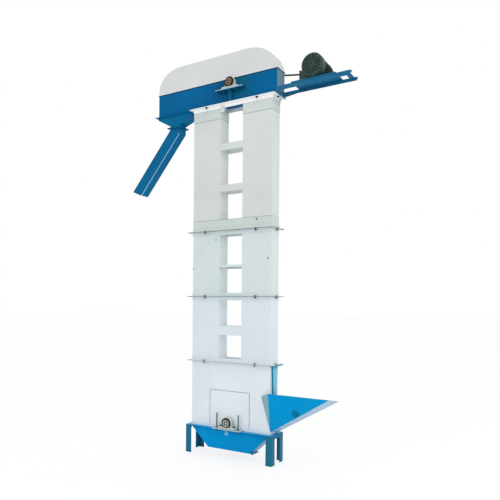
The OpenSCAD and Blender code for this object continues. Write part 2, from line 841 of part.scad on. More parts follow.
// Loop round two pulleys in the XY plane. Pulley 1 is at the origin with radius r1,
// pulley 2 at [c, 0] with radius r2. The child is a profile: x outwards, y along the shafts.
// The straight runs reach a little into the arcs, so that the loop is one piece.
module loop(r1, r2, c) {
    slope = asin((r1 - r2) / c);
    lap = 0.5;
    rotate([0, 0, 90 - slope]) rotate_extrude(angle = 180 + 2 * slope) translate([r1, 0]) children();
    translate([c, 0, 0]) rotate([0, 0, -90 + slope])
        rotate_extrude(angle = 180 - 2 * slope) translate([r2, 0]) children();
    for (m = [0, 1])
        mirror([0, m, 0])
            translate([r1 * sin(slope), r1 * cos(slope), 0])
                rotate([0, 0, 90 - slope]) rotate([90, 0, 0]) translate([0, 0, -lap])
                    linear_extrude(c * cos(slope) + 2 * lap) children();
}

run_l = head_z - boot_z;
belt_r = drum_r + belt_gap;
bucket_r = belt_r + belt_t;

// Places of the buckets as [angle round the head, height]: straight runs and both drums
run_at = [for (i = [0 : buckets_per_run - 1]) boot_z + (i + 0.5) * run_l / buckets_per_run];
arc_at = [45, 135];

module on_up_run() {
    for (z = run_at) translate([0, 0, z]) children();
    for (a = arc_at)
        translate([0, 0, a < 90 ? head_z : boot_z]) rotate([0, a < 90 ? -a : 45, 0]) children();
}

module on_down_run() {
    for (z = run_at) translate([0, 0, z]) rotate([0, 180, 0]) children();
    for (a = arc_at)
        translate([0, 0, a > 90 ? head_z : boot_z]) rotate([0, a > 90 ? -a : 135, 0]) children();
}

bolt_half = 28;
bolt_d = 6;

module belt_bolt_holes() {
    for (sy = [-1, 1])
        translate([belt_r - eps, sy * bolt_half, 0]) rotate([0, 90, 0]) {
            cylinder(d = bolt_d + 0.5, h = belt_t + 12);
            cylinder(d = 3 * bolt_d + 0.5, h = eps + 2);
        }
}

// Endless flat belt over both drums
module elevator_belt() {
    color(belt_black)
        difference() {
            translate([0, 0, boot_z]) rotate([90, 0, 0]) rotate([0, 0, 90])
                loop(belt_r, belt_r, run_l) translate([0, -belt_w / 2]) square([belt_t, belt_w]);
            on_up_run() belt_bolt_holes();
            on_down_run() belt_bolt_holes();
        }
}

// Pressed bucket: X away from the belt, Z along the belt, open at its top
module bucket() {
    t = 1.5;
    low = -bucket_h / 2;
    lip = bucket_h * 0.68;
    heel = 0.45 * bucket_out;
    translate([bucket_r, 0, low])
        difference() {
            xz_plate([[0, bucket_h], [0, 10], [10, 0], [heel, 0], [bucket_out, lip - 8], [bucket_out, lip]],
                     -bucket_w / 2, bucket_w / 2);
            xz_plate([[t, bucket_h + eps], [t, 10 + t / 2], [10 + t / 2, t], [heel - t / 2, t],
                      [bucket_out - t, lip - 7], [bucket_out - t, lip + 1]],
                     -bucket_w / 2 + t, bucket_w / 2 - t);
            for (sy = [-1, 1])
                translate([-eps, sy * bolt_half, bucket_h / 2]) rotate([0, 90, 0])
                    cylinder(d = bolt_d + 0.5, h = t + 2 * eps);
        }
}

module ascending_buckets() {
    color(steel_grey) on_up_run() bucket();
}

module descending_buckets() {
    color(steel_grey) on_down_run() bucket();
}

// Flat-headed belt bolt with its nut inside the bucket
module belt_bolts() {
    for (sy = [-1, 1])
        translate([belt_r, sy * bolt_half, 0]) rotate([0, 90, 0]) {
            cylinder(d = bolt_d, h = belt_t + 10);
            translate([0, 0, 0.3]) cylinder(d = 3 * bolt_d, h = 1.7);
            translate([0, 0, belt_t + 1.5]) hex(10, 5);
        }
}

module bucket_bolts() {
    color(dark_steel) {
        on_up_run() belt_bolts();
        on_down_run() belt_bolts();
    }
}

// Cross section of the V-belt, standing on the groove radius
module vee_section() {
    polygon([[0, -vee_w / 2 + 3.6], [11, -vee_w / 2], [11, vee_w / 2], [0, vee_w / 2 - 3.6]]);
}

big_groove = big_r - vee_depth;
small_groove = small_r - vee_depth;
drive_c = norm([motor_x, motor_z - head_z]);
drive_tilt = atan2(motor_z - head_z, motor_x);

module drive_belt() {
    color(belt_black)
        translate([0, belt_plane_y, head_z]) rotate([90, 0, 0]) rotate([0, 0, drive_tilt])
            loop(big_groove + 1, small_groove + 1, drive_c) vee_section();
}

// Rim profile of a V-pulley with one groove: r outside radius, bore side r_in
module vee_rim(r, r_in, w) {
    gap = belt_gap + 0.15;
    polygon([[r_in, -w / 2], [r, -w / 2], [r, -vee_w / 2 - gap - 0.35], [r - vee_depth, -vee_w / 2 + 3.6 - gap],
             [r - vee_depth, vee_w / 2 - 3.6 + gap], [r, vee_w / 2 + gap + 0.35], [r, w / 2], [r_in, w / 2]]);
}

// Shaft with the inner rings of its two bearings
module shaft(z, y0, y1) {
    translate([0, 0, z]) {
        color(steel_grey) y_cyl(shaft_r, y0, y1);
        color(steel_grey)
            for (side = [-1, 1])
                difference() {
                    y_cyl(inner_ring_d / 2, side * block_y - ring_w / 2, side * block_y + ring_w / 2);
                    y_cyl(shaft_r, side * block_y - ring_w, side * block_y + ring_w);
                }
    }
}

module head_shaft() {
    shaft(head_z, -shaft_front, rear_shaft_y);
}

module boot_shaft() {
    shaft(boot_z, -shaft_front, shaft_front);
}

// Welded drum: rim, two end discs with lightening holes, and a hub
module drum(z) {
    hub_r = shaft_r + 16;
    hole_r = (drum_r - 8 - hub_r) / 2;
    color(steel_grey)
        translate([0, 0, z])
            difference() {
                union() {
                    difference() {
                        y_cyl(drum_r, -drum_w / 2, drum_w / 2);
                        y_cyl(drum_r - 8, -drum_w / 2 - eps, drum_w / 2 + eps);
                    }
                    for (side = [-1, 1])
                        y_cyl(drum_r - 7, side * (drum_w / 2 - 16) - 3, side * (drum_w / 2 - 16) + 3);
                    y_cyl(hub_r, -drum_w / 2, drum_w / 2);
                }
                y_cyl(shaft_r, -drum_w, drum_w);
                for (a = [0 : 60 : 300])
                    rotate([0, a, 0]) translate([hub_r + hole_r, 0, 0])
                        y_cyl(hole_r * 0.62, -drum_w, drum_w);
            }
}

module head_drum() {
    drum(head_z);
}

module boot_drum() {
    drum(boot_z);
}

// Cast V-pulley with five arms
module driven_pulley() {
    hub_r = 46;
    rim_r = big_groove - 12;
    arm_t = 14;
    root = 15;
    tip = 10;
    color(cast_grey)
        translate([0, belt_plane_y, head_z])
            difference() {
                union() {
                    rotate([90, 0, 0]) rotate_extrude() vee_rim(big_r, rim_r, rim_w);
                    y_cyl(hub_r, -28, 28);
                    for (a = [0 : 72 : 288])
                        rotate([0, a, 0])
                            xz_plate([[-root, hub_r - 4], [root, hub_r - 4], [tip, rim_r + 4], [-tip, rim_r + 4]],
                                     -arm_t / 2, arm_t / 2);
                }
                y_cyl(shaft_r, -40, 40);
            }
}

// Threaded rods that stand on the base frame, each with a nut under its flange
module take_up_rods() {
    below = 26;
    color(steel_grey)
        for (sx = [-1, 1], sy = [-1, 1])
            translate([sx * rod_x, sy * block_y, floor_h]) {
                translate([0, 0, -below]) cylinder(d = rod_d, h = rod_up + below);
                translate([0, 0, -base_t - 10]) hex(19, 10);
            }
}

// Plate that carries a boot pillow block and slides up and down the rods
module take_up_plate(side) {
    z0 = floor_h + seat_gap;
    y_in = half_d + cover_t + 1.5;
    y_out = block_y + block_a / 2 + 6;
    color(steel_grey)
        mirror([0, side > 0 ? 1 : 0, 0])
            difference() {
                block([-153, -y_out, z0], [153, -y_in, z0 + take_plate_t]);
                for (sx = [-1, 1]) {
                    translate([sx * rod_x, -block_y, z0 - eps])
                        cylinder(d = rod_d + bolt_gap, h = take_plate_t + 2 * eps);
                    translate([sx * block_bolts / 2, -block_y, z0 - eps])
                        cylinder(d = 14 + bolt_gap, h = take_plate_t + 2 * eps);
                }
            }
}

// Nuts on the take-up rods and the screws of the boot pillow blocks
module take_up_nuts() {
    z0 = floor_h + seat_gap + take_plate_t;
    color(steel_grey)
        for (sx = [-1, 1], sy = [-1, 1]) {
            translate([sx * rod_x, sy * block_y, z0])
                difference() {
                    hex(19, 10);
                    translate([0, 0, -eps]) cylinder(d = rod_d + 2 * run_gap, h = 12);
                }
            translate([sx * block_bolts / 2, sy * block_y, z0]) {
                translate([0, 0, 20]) hex(22, 9);
                translate([0, 0, -take_plate_t]) cylinder(d = 14, h = take_plate_t + 21);
            }
        }
}

// Plate under the motor, clamped to the rails
module motor_base_plate() {
    z0 = rail_top + seat_gap;
    color(base_blue)
        difference() {
            block([motor_x - plate_half, plate_front_y, z0],
                  [motor_x + plate_half, plate_rear_y, z0 + motor_plate_t]);
            for (sx = [-1, 1]) {
                for (y = slot_y)
                    translate([motor_x + sx * clamp_x, y, z0 - eps])
                        cylinder(d = m10 + bolt_gap, h = motor_plate_t + 2 * eps);
                for (y = foot_bolt_y)
                    translate([motor_x + sx * foot_bolt_x, y, z0 - eps])
                        cylinder(d = m10 + bolt_gap, h = motor_plate_t + 2 * eps);
            }
        }
}

frame_r = 76;
fin_r = 92;
// Terminal box, measured from the motor centre: left and right, front and rear, bottom and top,
// with the fins left out between two angles to make room for its boss
box_x = [-150, -86];
box_y = [-42, 62];
box_z = [-75, 10];
box_from = 132;
box_to = 196;

// Finned motor frame with its feet, bored for the rotor
module motor_frame() {
    foot_w = 37;
    foot_t = 14;
    color(motor_green)
        translate([motor_x, 0, motor_z])
            difference() {
                union() {
                    y_cyl(frame_r, frame_front_y, frame_rear_y);
                    for (a = [for (i = [0 : fin_count - 1]) i * 360 / fin_count])
                        if (a < box_from || a > box_to)
                            rotate([0, a, 0])
                                block([frame_r - 3, frame_front_y + 8, -1.5], [fin_r, frame_rear_y - 8, 1.5]);
                    block([box_x[1], box_y[0] + 6, box_z[0] + 6], [-55, box_y[1] - 6, box_z[1] - 6]);
                    for (sx = [-1, 1], y = foot_bolt_y) {
                        block([min(sx * 40, sx * 98), y - foot_w / 2, -motor_h],
                              [max(sx * 40, sx * 98), y + foot_w / 2, -motor_h + foot_t]);
                        block([min(sx * 42, sx * 56), y - foot_w / 2, -motor_h],
                              [max(sx * 42, sx * 56), y + foot_w / 2, -40]);
                    }
                }
                y_cyl(52, frame_front_y - eps, frame_rear_y + eps);
                for (sx = [-1, 1], y = foot_bolt_y)
                    translate([sx * foot_bolt_x, y, -motor_h - eps])
                        cylinder(d = m10 + bolt_gap, h = foot_t + 2 * eps);
            }
}

// Cast shields that close the frame and carry the motor shaft
module motor_end_shields() {
    bore = motor_shaft_d / 2 + run_gap;
    color(motor_green)
        translate([motor_x, 0, motor_z]) {
            translate([0, frame_rear_y, 0]) rotate([-90, 0, 0])
                rotate_extrude()
                    polygon([[bore, 0], [90, 0], [90, 12], [78, 22], [46, 28], [40, 38], [bore, 38]]);
            translate([0, frame_front_y, 0]) rotate([90, 0, 0])
                rotate_extrude()
                    polygon([[bore, 0], [90, 0], [90, 12], [40, 15], [40, 22], [bore, 22]]);
        }
}

// Fan cowl: pressed cup with rounded shoulder and radial slots
module fan_cowl() {
    r = cowl_d / 2;
    t = 1.5;
    open_y = frame_front_y - 2;
    length = open_y - motor_front_y;
    round_r = 20;
    color(motor_green)
        translate([motor_x, open_y, motor_z]) rotate([90, 0, 0])
            difference() {
                rotate_extrude()
                    polygon(concat(
                        [[r - t, 0], [r, 0]],
                        [for (a = [0 : 15 : 90])
                            [r - round_r + round_r * cos(a), length - round_r + round_r * sin(a)]],
                        [[0, length], [0, length - t]],
                        [for (a = [90 : -15 : 0])
                            [r - round_r + (round_r - t) * cos(a), length - round_r + (round_r - t) * sin(a)]]));
                for (i = [0 : cowl_slots - 1])
                    rotate([0, 0, i * 360 / cowl_slots])
                        translate([24, -2.6, length - t - eps]) cube([r - 24 - round_r, 5.2, t + 2 * eps]);
                translate([0, 0, length - t - eps]) cylinder(r = 8, h = t + 2 * eps);
            }
    color(motor_green)
        translate([motor_x, 0, motor_z])
            for (a = [45 : 90 : 315])
                rotate([0, a, 0]) block([90, frame_front_y - 12, -6], [r - t, frame_front_y - 2.5, 6]);
}

// Terminal box on the left side of the frame, with its cable gland at the rear
module terminal_box() {
    color(motor_green)
        translate([motor_x, 0, motor_z]) {
            block([box_x[0], box_y[0], box_z[0]], [box_x[1], box_y[1], box_z[1]]);
            block([box_x[0] - 6, box_y[0] - 3, box_z[0] - 3], [box_x[0], box_y[1] + 3, box_z[1] + 3]);
            translate([(box_x[0] + box_x[1]) / 2, 0, (box_z[0] + box_z[1]) / 2])
                y_cyl(10, box_y[1] - 1, box_y[1] + 17);
        }
}

// Motor foot screws and the clamp bolts in the rail slots
module motor_bolts() {
    z0 = rail_top + seat_gap;
    color(steel_grey)
        for (sx = [-1, 1]) {
            for (y = foot_bolt_y)
                translate([motor_x + sx * foot_bolt_x, y, z0]) {
                    cylinder(d = m10, h = motor_plate_t + 14.5);
                    translate([0, 0, motor_plate_t + 14]) hex(16, 7);
                }
            for (y = slot_y)
                translate([motor_x + sx * clamp_x, y, 0])
                    bolt_z(m10, rail_top - rail_t - seat_gap, z0 + motor_plate_t);
        }
}

// Motor shaft with its rotor core
module motor_rotor() {
    core_r = 50;
    color(steel_grey)
        translate([motor_x, 0, motor_z]) {
            y_cyl(motor_shaft_d / 2, motor_front_y + 12, motor_shaft_end_y);
            y_cyl(core_r, frame_front_y + 20, frame_rear_y - 20);
        }
}

// Radial fan under the cowl
module cooling_fan() {
    y0 = motor_front_y + 14;
    y1 = y0 + 38;
    color(dark_steel)
        translate([motor_x, 0, motor_z])
            difference() {
                union() {
                    y_cyl(26, y0, y1);
                    y_cyl(78, y1 - 3, y1);
                    for (i = [0 : 8])
                        rotate([0, i * 40, 0]) block([20, y0 + 4, -1.5], [76, y1, 1.5]);
                }
                y_cyl(motor_shaft_d / 2, y0 - eps, y1 + eps);
            }
}

// Motor pulley with a flush hub
module motor_pulley() {
    color(cast_grey)
        translate([motor_x, belt_plane_y, motor_z])
            difference() {
                rotate([90, 0, 0]) rotate_extrude() vee_rim(small_r, motor_shaft_d / 2, rim_w);
                y_cyl(motor_shaft_d / 2, -20, 20);
            }
}

place() base_frame();
place() base_leg(-1, -1);  // base_leg_front_left
place() base_leg(1, -1);  // base_leg_front_right
place() base_leg(-1, 1);  // base_leg_rear_left
place() base_leg(1, 1);  // base_leg_rear_right
place() boot_trough();
place() cleanout_gate();
place() boot_casing();
place() boot_cover(-1);  // boot_cover_front
place() boot_cover(1);  // boot_cover_rear
place() inlet_hopper();
place() inlet_side_plate();
place() duct(-1, z_boot, z_lower);  // lower_left_duct
place() duct(1, z_boot, z_lower);  // lower_right_duct
place() lower_frame();
place() duct(-1, z_lower, z_middle);  // middle_left_duct
place() duct(1, z_lower, z_middle);  // middle_right_duct
place() middle_frame();
place() duct(-1, z_middle, z_head);  // upper_left_duct
place() duct(1, z_middle, z_head);  // upper_right_duct
place() upper_frame();
place() upper_collars();
place() casing_bolts();
place() head_casing();
place() head_hood();
place() head_bracket(-1);  // head_bracket_front
place() head_bracket(1);  // head_bracket_rear
place() head_block(-1);  // head_block_front
place() head_block(1);  // head_block_rear
place() head_fasteners();
place() discharge_transition();
place() discharge_spout();
place() motor_rail(rail_front_y, rail_angle, slot_y[0]);  // motor_rail_front
place() motor_rail(rail_rear_y, rear_rail_angle, slot_y[1]);  // motor_rail_rear
place() rail_cross_bars();
place() elevator_belt();
place() ascending_buckets();
place() descending_buckets();
place() bucket_bolts();
place() drive_belt();
place() head_shaft();
place() head_drum();
place() driven_pulley();
place() take_up_rods();
place() take_up_plate(-1);  // take_up_plate_front
place() take_up_plate(1);  // take_up_plate_rear
place() boot_block(-1);  // boot_block_front
place() boot_block(1);  // boot_block_rear
place() take_up_nuts();
place() boot_shaft();
place() boot_drum();
place() motor_base_plate();
place() motor_frame();
place() motor_end_shields();
place() fan_cowl();
place() terminal_box();
place() motor_bolts();
place() motor_rotor();
place() cooling_fan();
place() motor_pulley();
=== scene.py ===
# %% [markdown]
# # A grain elevator, dressed for its portrait
# This file is a lesson in dressing a machine whose construction is already settled. The frame that
# is loaded first holds every piece at its real size and place. Each following cell takes one piece
# or one finish, says what it is on the real machine, and models or paints it in Blender.

# %% Load the machine's frame
import json
import math

import bmesh
import bpy
from mathutils import Matrix, Vector


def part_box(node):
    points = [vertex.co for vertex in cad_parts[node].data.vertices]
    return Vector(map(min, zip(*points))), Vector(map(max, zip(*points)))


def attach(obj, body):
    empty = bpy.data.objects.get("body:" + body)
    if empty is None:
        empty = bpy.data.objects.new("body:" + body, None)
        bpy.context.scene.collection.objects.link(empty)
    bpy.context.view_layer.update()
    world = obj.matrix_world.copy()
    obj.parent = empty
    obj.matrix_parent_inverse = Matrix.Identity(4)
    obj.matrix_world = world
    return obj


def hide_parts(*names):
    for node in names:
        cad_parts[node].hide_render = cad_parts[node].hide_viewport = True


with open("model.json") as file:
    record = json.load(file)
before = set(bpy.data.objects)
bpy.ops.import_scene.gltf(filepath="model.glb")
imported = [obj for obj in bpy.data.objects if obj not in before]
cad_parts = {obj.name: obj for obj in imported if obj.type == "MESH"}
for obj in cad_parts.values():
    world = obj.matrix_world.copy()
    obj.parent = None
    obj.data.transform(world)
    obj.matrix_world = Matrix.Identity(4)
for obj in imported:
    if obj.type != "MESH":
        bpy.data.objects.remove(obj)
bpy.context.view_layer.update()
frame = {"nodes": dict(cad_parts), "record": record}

# %% [markdown]
# ## The camera
# A camera is placed by three facts: where the photographer stood, which way they looked, and how
# long the lens was. The uprights in the picture are parallel, so the camera looked level, and the
# picture was slid upwards to take in the head. Blender does that with `shift_y`, which keeps
# uprights upright, where tilting the camera would lean them together.

# %% Place the camera
left_low, left_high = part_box("lower_left_duct")
right_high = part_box("lower_right_duct")[1]
centre_x = (left_low.x + right_high.x) / 2
front_y = left_low.y
rear_y = left_high.y


def at(x, y, z):
    """A point in mm, from the middle of the casing on the floor, as a point of the scene."""
    return Vector((centre_x + x / 1000, (front_y + rear_y) / 2 + y / 1000, z / 1000))


def linked(name, data):
    """Makes an object of a mesh, curve, lamp or camera, and puts it into the scene."""
    made = bpy.data.objects.new(name, data)
    bpy.context.scene.collection.objects.link(made)
    return made


EYE = Vector((2.6302, -4.1034, 1.4251))  # from the middle of the casing's front, on the floor
LOOK_DEG = 30.5
ROLL_DEG = 0.49
LENS_MM = 37.94
SHIFT_UP = 0.1074

camera_data = bpy.data.cameras.new("camera")
camera_data.sensor_width = 36
camera_data.lens = LENS_MM
camera_data.shift_y = SHIFT_UP
camera_data.clip_end = 200
camera = linked("camera", camera_data)
look = Matrix.Rotation(math.radians(LOOK_DEG), 4, "Z") @ Matrix.Rotation(math.radians(90), 4, "X")
roll = Matrix.Rotation(math.radians(ROLL_DEG), 4, "Z")
camera.matrix_world = Matrix.Translation(Vector((centre_x, front_y, 0)) + EYE) @ look @ roll
bpy.context.scene.camera = camera
print("the camera stands", round(EYE.xy.length, 2), "m away")

# %% [markdown]
# ## Colours and nodes
# Colours are written as the hex values that a paint chart gives. Blender works in linear light, so
# one function turns the hex value round. A second small function adds a shader node, sets its
# properties and links its sockets, and the others call it for a sum, a mixture, a range, a bump or a
# noise. So each material below reads like a recipe.

# %% Helpers for every material
def linear(hex_colour):
    channels = [int(hex_colour[i:i + 2], 16) / 255 for i in (1, 3, 5)]
    return [c / 12.92 if c <= 0.04045 else ((c + 0.055) / 1.055) ** 2.4 for c in channels] + [1.0]


def add(tree, kind, sockets=None, **settings):
    """Adds a node. A socket's value is a number, a colour or another node's output."""
    node = tree.nodes.new(kind)
    for name, value in settings.items():
        setattr(node, name, value)
    for name, value in (sockets or {}).items():
        if isinstance(value, bpy.types.NodeSocket):
            tree.links.new(value, node.inputs[name])
        else:
            node.inputs[name].default_value = value
    return node


def start_material(name):
    material = bpy.data.materials.new(name)
    material.use_nodes = True
    tree = material.node_tree
    tree.nodes.clear()
    place = add(tree, "ShaderNodeTexCoord").outputs["Object"]
    return material, tree, place


def principled(tree, body, rough, normal, sockets):
    """The shader that every paint, metal and polymer ends in, linked to the material's output."""
    sockets = {"Base Color": body, "Roughness": rough, "Normal": normal, **sockets}
    shader = add(tree, "ShaderNodeBsdfPrincipled", sockets)
    add(tree, "ShaderNodeOutputMaterial", {"Surface": shader.outputs["BSDF"]})
    return shader


def maths(tree, operation, *values):
    sockets = dict(enumerate(values))
    return add(tree, "ShaderNodeMath", sockets, operation=operation).outputs[0]


def mix(tree, factor, a, b):
    node = add(tree, "ShaderNodeMix", {"Factor": factor}, data_type="RGBA")
    for socket, value in zip((node.inputs[6], node.inputs[7]), (a, b)):
        if isinstance(value, bpy.types.NodeSocket):
            tree.links.new(value, socket)
        else:
            socket.default_value = value
    return node.outputs[2]


def ramp(tree, value, low, high, to_low=0.0, to_high=1.0):
    """Maps a value from one range to another, and holds it there."""
    sockets = {"Value": value, "From Min": low, "From Max": high, "To Min": to_low, "To Max": to_high}
    return add(tree, "ShaderNodeMapRange", sockets).outputs["Result"]


def bump(tree, height, strength, distance, **sockets):
    sockets = {"Height": height, "Strength": strength, "Distance": distance, **sockets}
    return add(tree, "ShaderNodeBump", sockets).outputs["Normal"]


def noise(tree, place, size_mm, detail=3.0, stretch=(1, 1, 1)):
    """A noise whose blotches are about size_mm across."""
    scale = [1000 / size_mm / s for s in stretch]
    mapping = add(tree, "ShaderNodeMapping", {"Vector": place, "Scale": scale})
    sockets = {"Vector": mapping.outputs["Vector"], "Scale": 1.0, "Detail": detail}
    return add(tree, "ShaderNodeTexNoise", sockets).outputs["Fac"]


# %% [markdown]
# ## Brushed and sprayed enamel on sheet steel
# The casing is mild steel sheet under a coat of alkyd enamel, sprayed by hand. Enamel is a
# dielectric, IOR about 1.5, with a gloss that varies from patch to patch. Three things keep it from
# looking like plastic: the coat is faintly cloudy, rain and dust leave streaks that run down, and
# dust settles on whatever faces up. All three are noises on Object coordinates, in millimetres.
# A saturated blue stays saturated only if little white light is mirrored straight on, so the base
# layer has a low specular level, and a thin coat takes over at grazing angles, where enamel shines.

# %% Painted sheet steel
def painted_steel(name, colour, cloud, dust, roughness=0.42, dust_amount=0.35, streaks=0.25, gloss=0.3,
                  coat=0.0, stains=()):
    material, tree, place = start_material(name)
    geometry = add(tree, "ShaderNodeNewGeometry")
    clouds = ramp(tree, noise(tree, place, 420), 0.38, 0.66)
    body = mix(tree, clouds, linear(colour), linear(cloud))

    # Rain streaks: a noise stretched down the wall, broken up by a broader one
    runs = ramp(tree, noise(tree, place, 22, 4.0, (1, 1, 26)), 0.52, 0.72, 0.0, streaks)
    patches = ramp(tree, noise(tree, place, 260, 2.0), 0.42, 0.62)
    body = mix(tree, maths(tree, "MULTIPLY", runs, patches), body, linear(dust))

    # Smudges where hands, grease or a scrape have marked the paint: (place, radius in mm, colour)
    for spot, radius_mm, smudge in stains:
        radius = radius_mm / 1000
        away = add(tree, "ShaderNodeVectorMath", {0: place, 1: spot}, operation="DISTANCE").outputs["Value"]
        ragged = maths(tree, "MULTIPLY_ADD", noise(tree, place, radius_mm * 0.6, 4.0), -radius, away)
        body = mix(tree, ramp(tree, ragged, 0.1 * radius, 0.5 * radius, 0.9, 0.0), body, linear(smudge))

    # Dust lies on faces that look up
    split = add(tree, "ShaderNodeSeparateXYZ", {"Vector": geometry.outputs["True Normal"]})
    facing_up = ramp(tree, split.outputs["Z"], 0.35, 0.95, 0.0, dust_amount)
    grain = ramp(tree, noise(tree, place, 9, 5.0), 0.35, 0.6)
    body = mix(tree, maths(tree, "MULTIPLY", facing_up, grain), body, linear(dust))

    # Orange peel of about 3 mm, with the slow waves of hand-bent sheet under it
    peel = bump(tree, noise(tree, place, 3.2, 2.0), 0.06, 0.0006)
    waves = bump(tree, noise(tree, place, 240, 1.0), 0.16, 0.01, Normal=peel)
    rough = ramp(tree, noise(tree, place, 60, 4.0), 0.3, 0.7, roughness - 0.07, roughness + 0.09)
    shader = principled(tree, body, rough, waves,
                        {"IOR": 1.5, "Specular IOR Level": gloss, "Coat Roughness": 0.16})
    if coat:
        facing = add(tree, "ShaderNodeLayerWeight", {"Blend": 0.5}).outputs["Facing"]
        tree.links.new(ramp(tree, facing, 0.62, 0.96, 0.0, coat), shader.inputs["Coat Weight"])
    return material


# %% [markdown]
# ## Whites and blues that don't match
# The casing was painted section by section, and each batch of white came out a little different.
# The lower whites are also lighter and bluer: painted light from the floor and a painted reflection
# of the sky. The blues differ more: the head and spout are dark, the boot is bright. Some has
# weathered, and faces that catch the light are painted lighter: painted sheen, light and reflection.
# A stain is placed by its point on the sheet, so that it stays there when the machine is seen from
# another side.

# %% The whites of the casing
RAIN_DUST = "#B8BFBC"


def white_enamel(name, colour, cloud, dust="#B9B8AC", stains=()):
    return painted_steel(name, colour, cloud, dust, 0.46, 0.30, streaks=0.12, gloss=0.2, stains=stains)


hood_white = white_enamel("hood_white_enamel", "#DDDFDF", "#D8DBDB")
upper_white = white_enamel("upper_white_enamel", "#D9DFDE", "#D3DAD8")
# Pure white: a painted highlight on the hood's lip and on the faces of the flange below the band
painted_highlight_white = white_enamel("white_painted_highlight", "#FFFFFF", "#FAFCFC", "#D8DAD6")
rivet_mark = [(at(275, -71, 2188), 13, "#5E645F")]
collar_white = white_enamel("collar_white_enamel", "#D2DCD8", "#CBD6D2", stains=rivet_mark)
plugged_holes = [(at(-164, -70, 2021), 9, "#4A4E4A"), (at(394, -70, 1832), 10, "#3A3D3A"),
                 (at(-427, -70, 1756), 12, "#3A3D3A")]
middle_white = white_enamel("middle_white_enamel", "#DBE5E6", "#D6E1E2", RAIN_DUST, plugged_holes)
# The lower and boot whites are lighter and bluer: painted light from the floor and a painted reflection of
# the sky
lower_white_painted_light = white_enamel("lower_white_enamel", "#E3EBF0", "#DDE7EC", RAIN_DUST)
boot_white_painted_light = white_enamel("boot_white_enamel", "#EBF0F6", "#E2EBF1", RAIN_DUST)
print("seven whites, from", hood_white.name, "to", boot_white_painted_light.name)

# %% The blues of the head, the spout and the boot
SATIN = {"dust_amount": 0.30, "streaks": 0.10}
GLOSSY = {"roughness": 0.36, "dust_amount": 0.25, "streaks": 0.10, "gloss": 0.04, "coat": 0.8}
DARK_DUST, BRIGHT_DUST, TEAL_DUST = "#3E7798", "#5FA6C8", "#5C8290"
# Two darker blotches on the band beside the head bearing: painted shadow of the bearing housing
housing_painted_shadow = [(at(-40, -70, 3440), 190, "#0A587E"), (at(95, -70, 3420), 150, "#0B6284")]
deep_blue_enamel = painted_steel("deep_blue_enamel", "#00689F", "#005E93", DARK_DUST, 0.40, gloss=0.04,
                                 coat=0.5, stains=housing_painted_shadow, **SATIN)
spout_blue_enamel = painted_steel("spout_blue_enamel", "#046A98", "#046090", DARK_DUST, 0.36, gloss=0.05,
                                  coat=0.6, **SATIN)
funnel_blue_enamel = painted_steel("funnel_blue_enamel", "#04749F", "#046A9A", DARK_DUST, 0.38, gloss=0.05,
                                   coat=0.5, **SATIN)
trough_y = (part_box("boot_trough")[0].y - at(0, 0, 0).y) * 1000
# Two pale light-blue spots on the trough's front
pale_spots = [(at(-26, trough_y, 221), 23, "#8CCDF2"), (at(-31, trough_y, 238), 16, "#7DC0E8")]
bright_blue_enamel = painted_steel("bright_blue_enamel", "#009ADC", "#008ECC", BRIGHT_DUST,
                                   stains=pale_spots, **GLOSSY)
smudge = [(at(690, -98, 481), 40, "#0A6C93"), (at(672, -98, 505), 24, "#0E7BA6")]
hopper_enamel = painted_steel("hopper_blue_enamel", "#0099D9", "#0E93C6", BRIGHT_DUST, stains=smudge,
                              **GLOSSY)
fold_teal = painted_steel("teal_fold_enamel", "#0E86AC", "#0E7FA6", TEAL_DUST, 0.40, 0.20,
                          streaks=0.20, gloss=0.08, coat=0.4)
teal_blue_enamel = painted_steel("teal_blue_enamel", "#1B6E90", "#20708C", TEAL_DUST, 0.42, 0.40,
                                 streaks=0.16, gloss=0.08, coat=0.5)
print("the trough's paint run lies", round(trough_y), "mm from the middle of the casing")

# %% Painted sheen, light and reflection; worn and oversprayed paint
WORN = {"roughness": 0.46, "dust_amount": 0.2, "streaks": 0.2}
pale_edge = painted_steel("paint_worn_to_primer", "#A6C6DA", "#8FB4CC", "#B4BCB8", gloss=0.3, **WORN)
pale_wash = painted_steel("thin_pale_overspray", "#B4C8CC", "#A2BCC4", RAIN_DUST, gloss=0.2, **WORN)
# name: colour, cloud, dust, roughness, amount of dust, streaks, gloss, coat
# Some are lighter for how light falls on them: painted sheen, painted light and a painted reflection of the
# floor
SHEEN_LIGHT_AND_WEAR = {
    "blue_painted_sheen_and_weathering": ("#6F96A4", "#4E7C94", "#93A6A4", 0.50, 0.2, 0.5, 0.2),
    "teal_with_painted_light": ("#8BB7C2", "#78A9B8", "#B6C8C6", 0.44, 0.2, 0.3, 0.15, 0.3),
    "blue_with_painted_reflection": ("#A9CBE2", "#8FBAD8", "#CFDDE6", 0.40, 0.1, 0.5, 0.2, 0.3),
    "worn_blue_enamel": ("#1E6C94", "#125F8C", "#7C8C8A", 0.46, 0.40, 0.30, 0.10, 0.4),
    "pale_blue_with_painted_light": ("#88D2DC", "#80CADB", "#A9C2CA", 0.42, 0.20, 0.30, 0.1, 0.4),
    "oversprayed_zinc_plate": ("#2F6264", "#4E7C7C", "#8A948E", 0.44, 0.2, 0.2, 0.3),
}
sheen_and_weathered_blue, painted_light_teal, painted_reflection_blue, rail_enamel, pale_blue_with_painted_light, oversprayed_zinc = [
    painted_steel(name, *look_of_it) for name, look_of_it in SHEEN_LIGHT_AND_WEAR.items()]
print(len(SHEEN_LIGHT_AND_WEAR) + 2, "worn paints")

# %% [markdown]
# ## Bare and plated metal
# A metal takes its colour from its reflection, so metallic is 1 and the base colour is bright. What
# differs is the surface: turned steel has fine rings, zinc plate is cloudy and soft, a cut shaft end
# that nobody painted turns brown within a month.

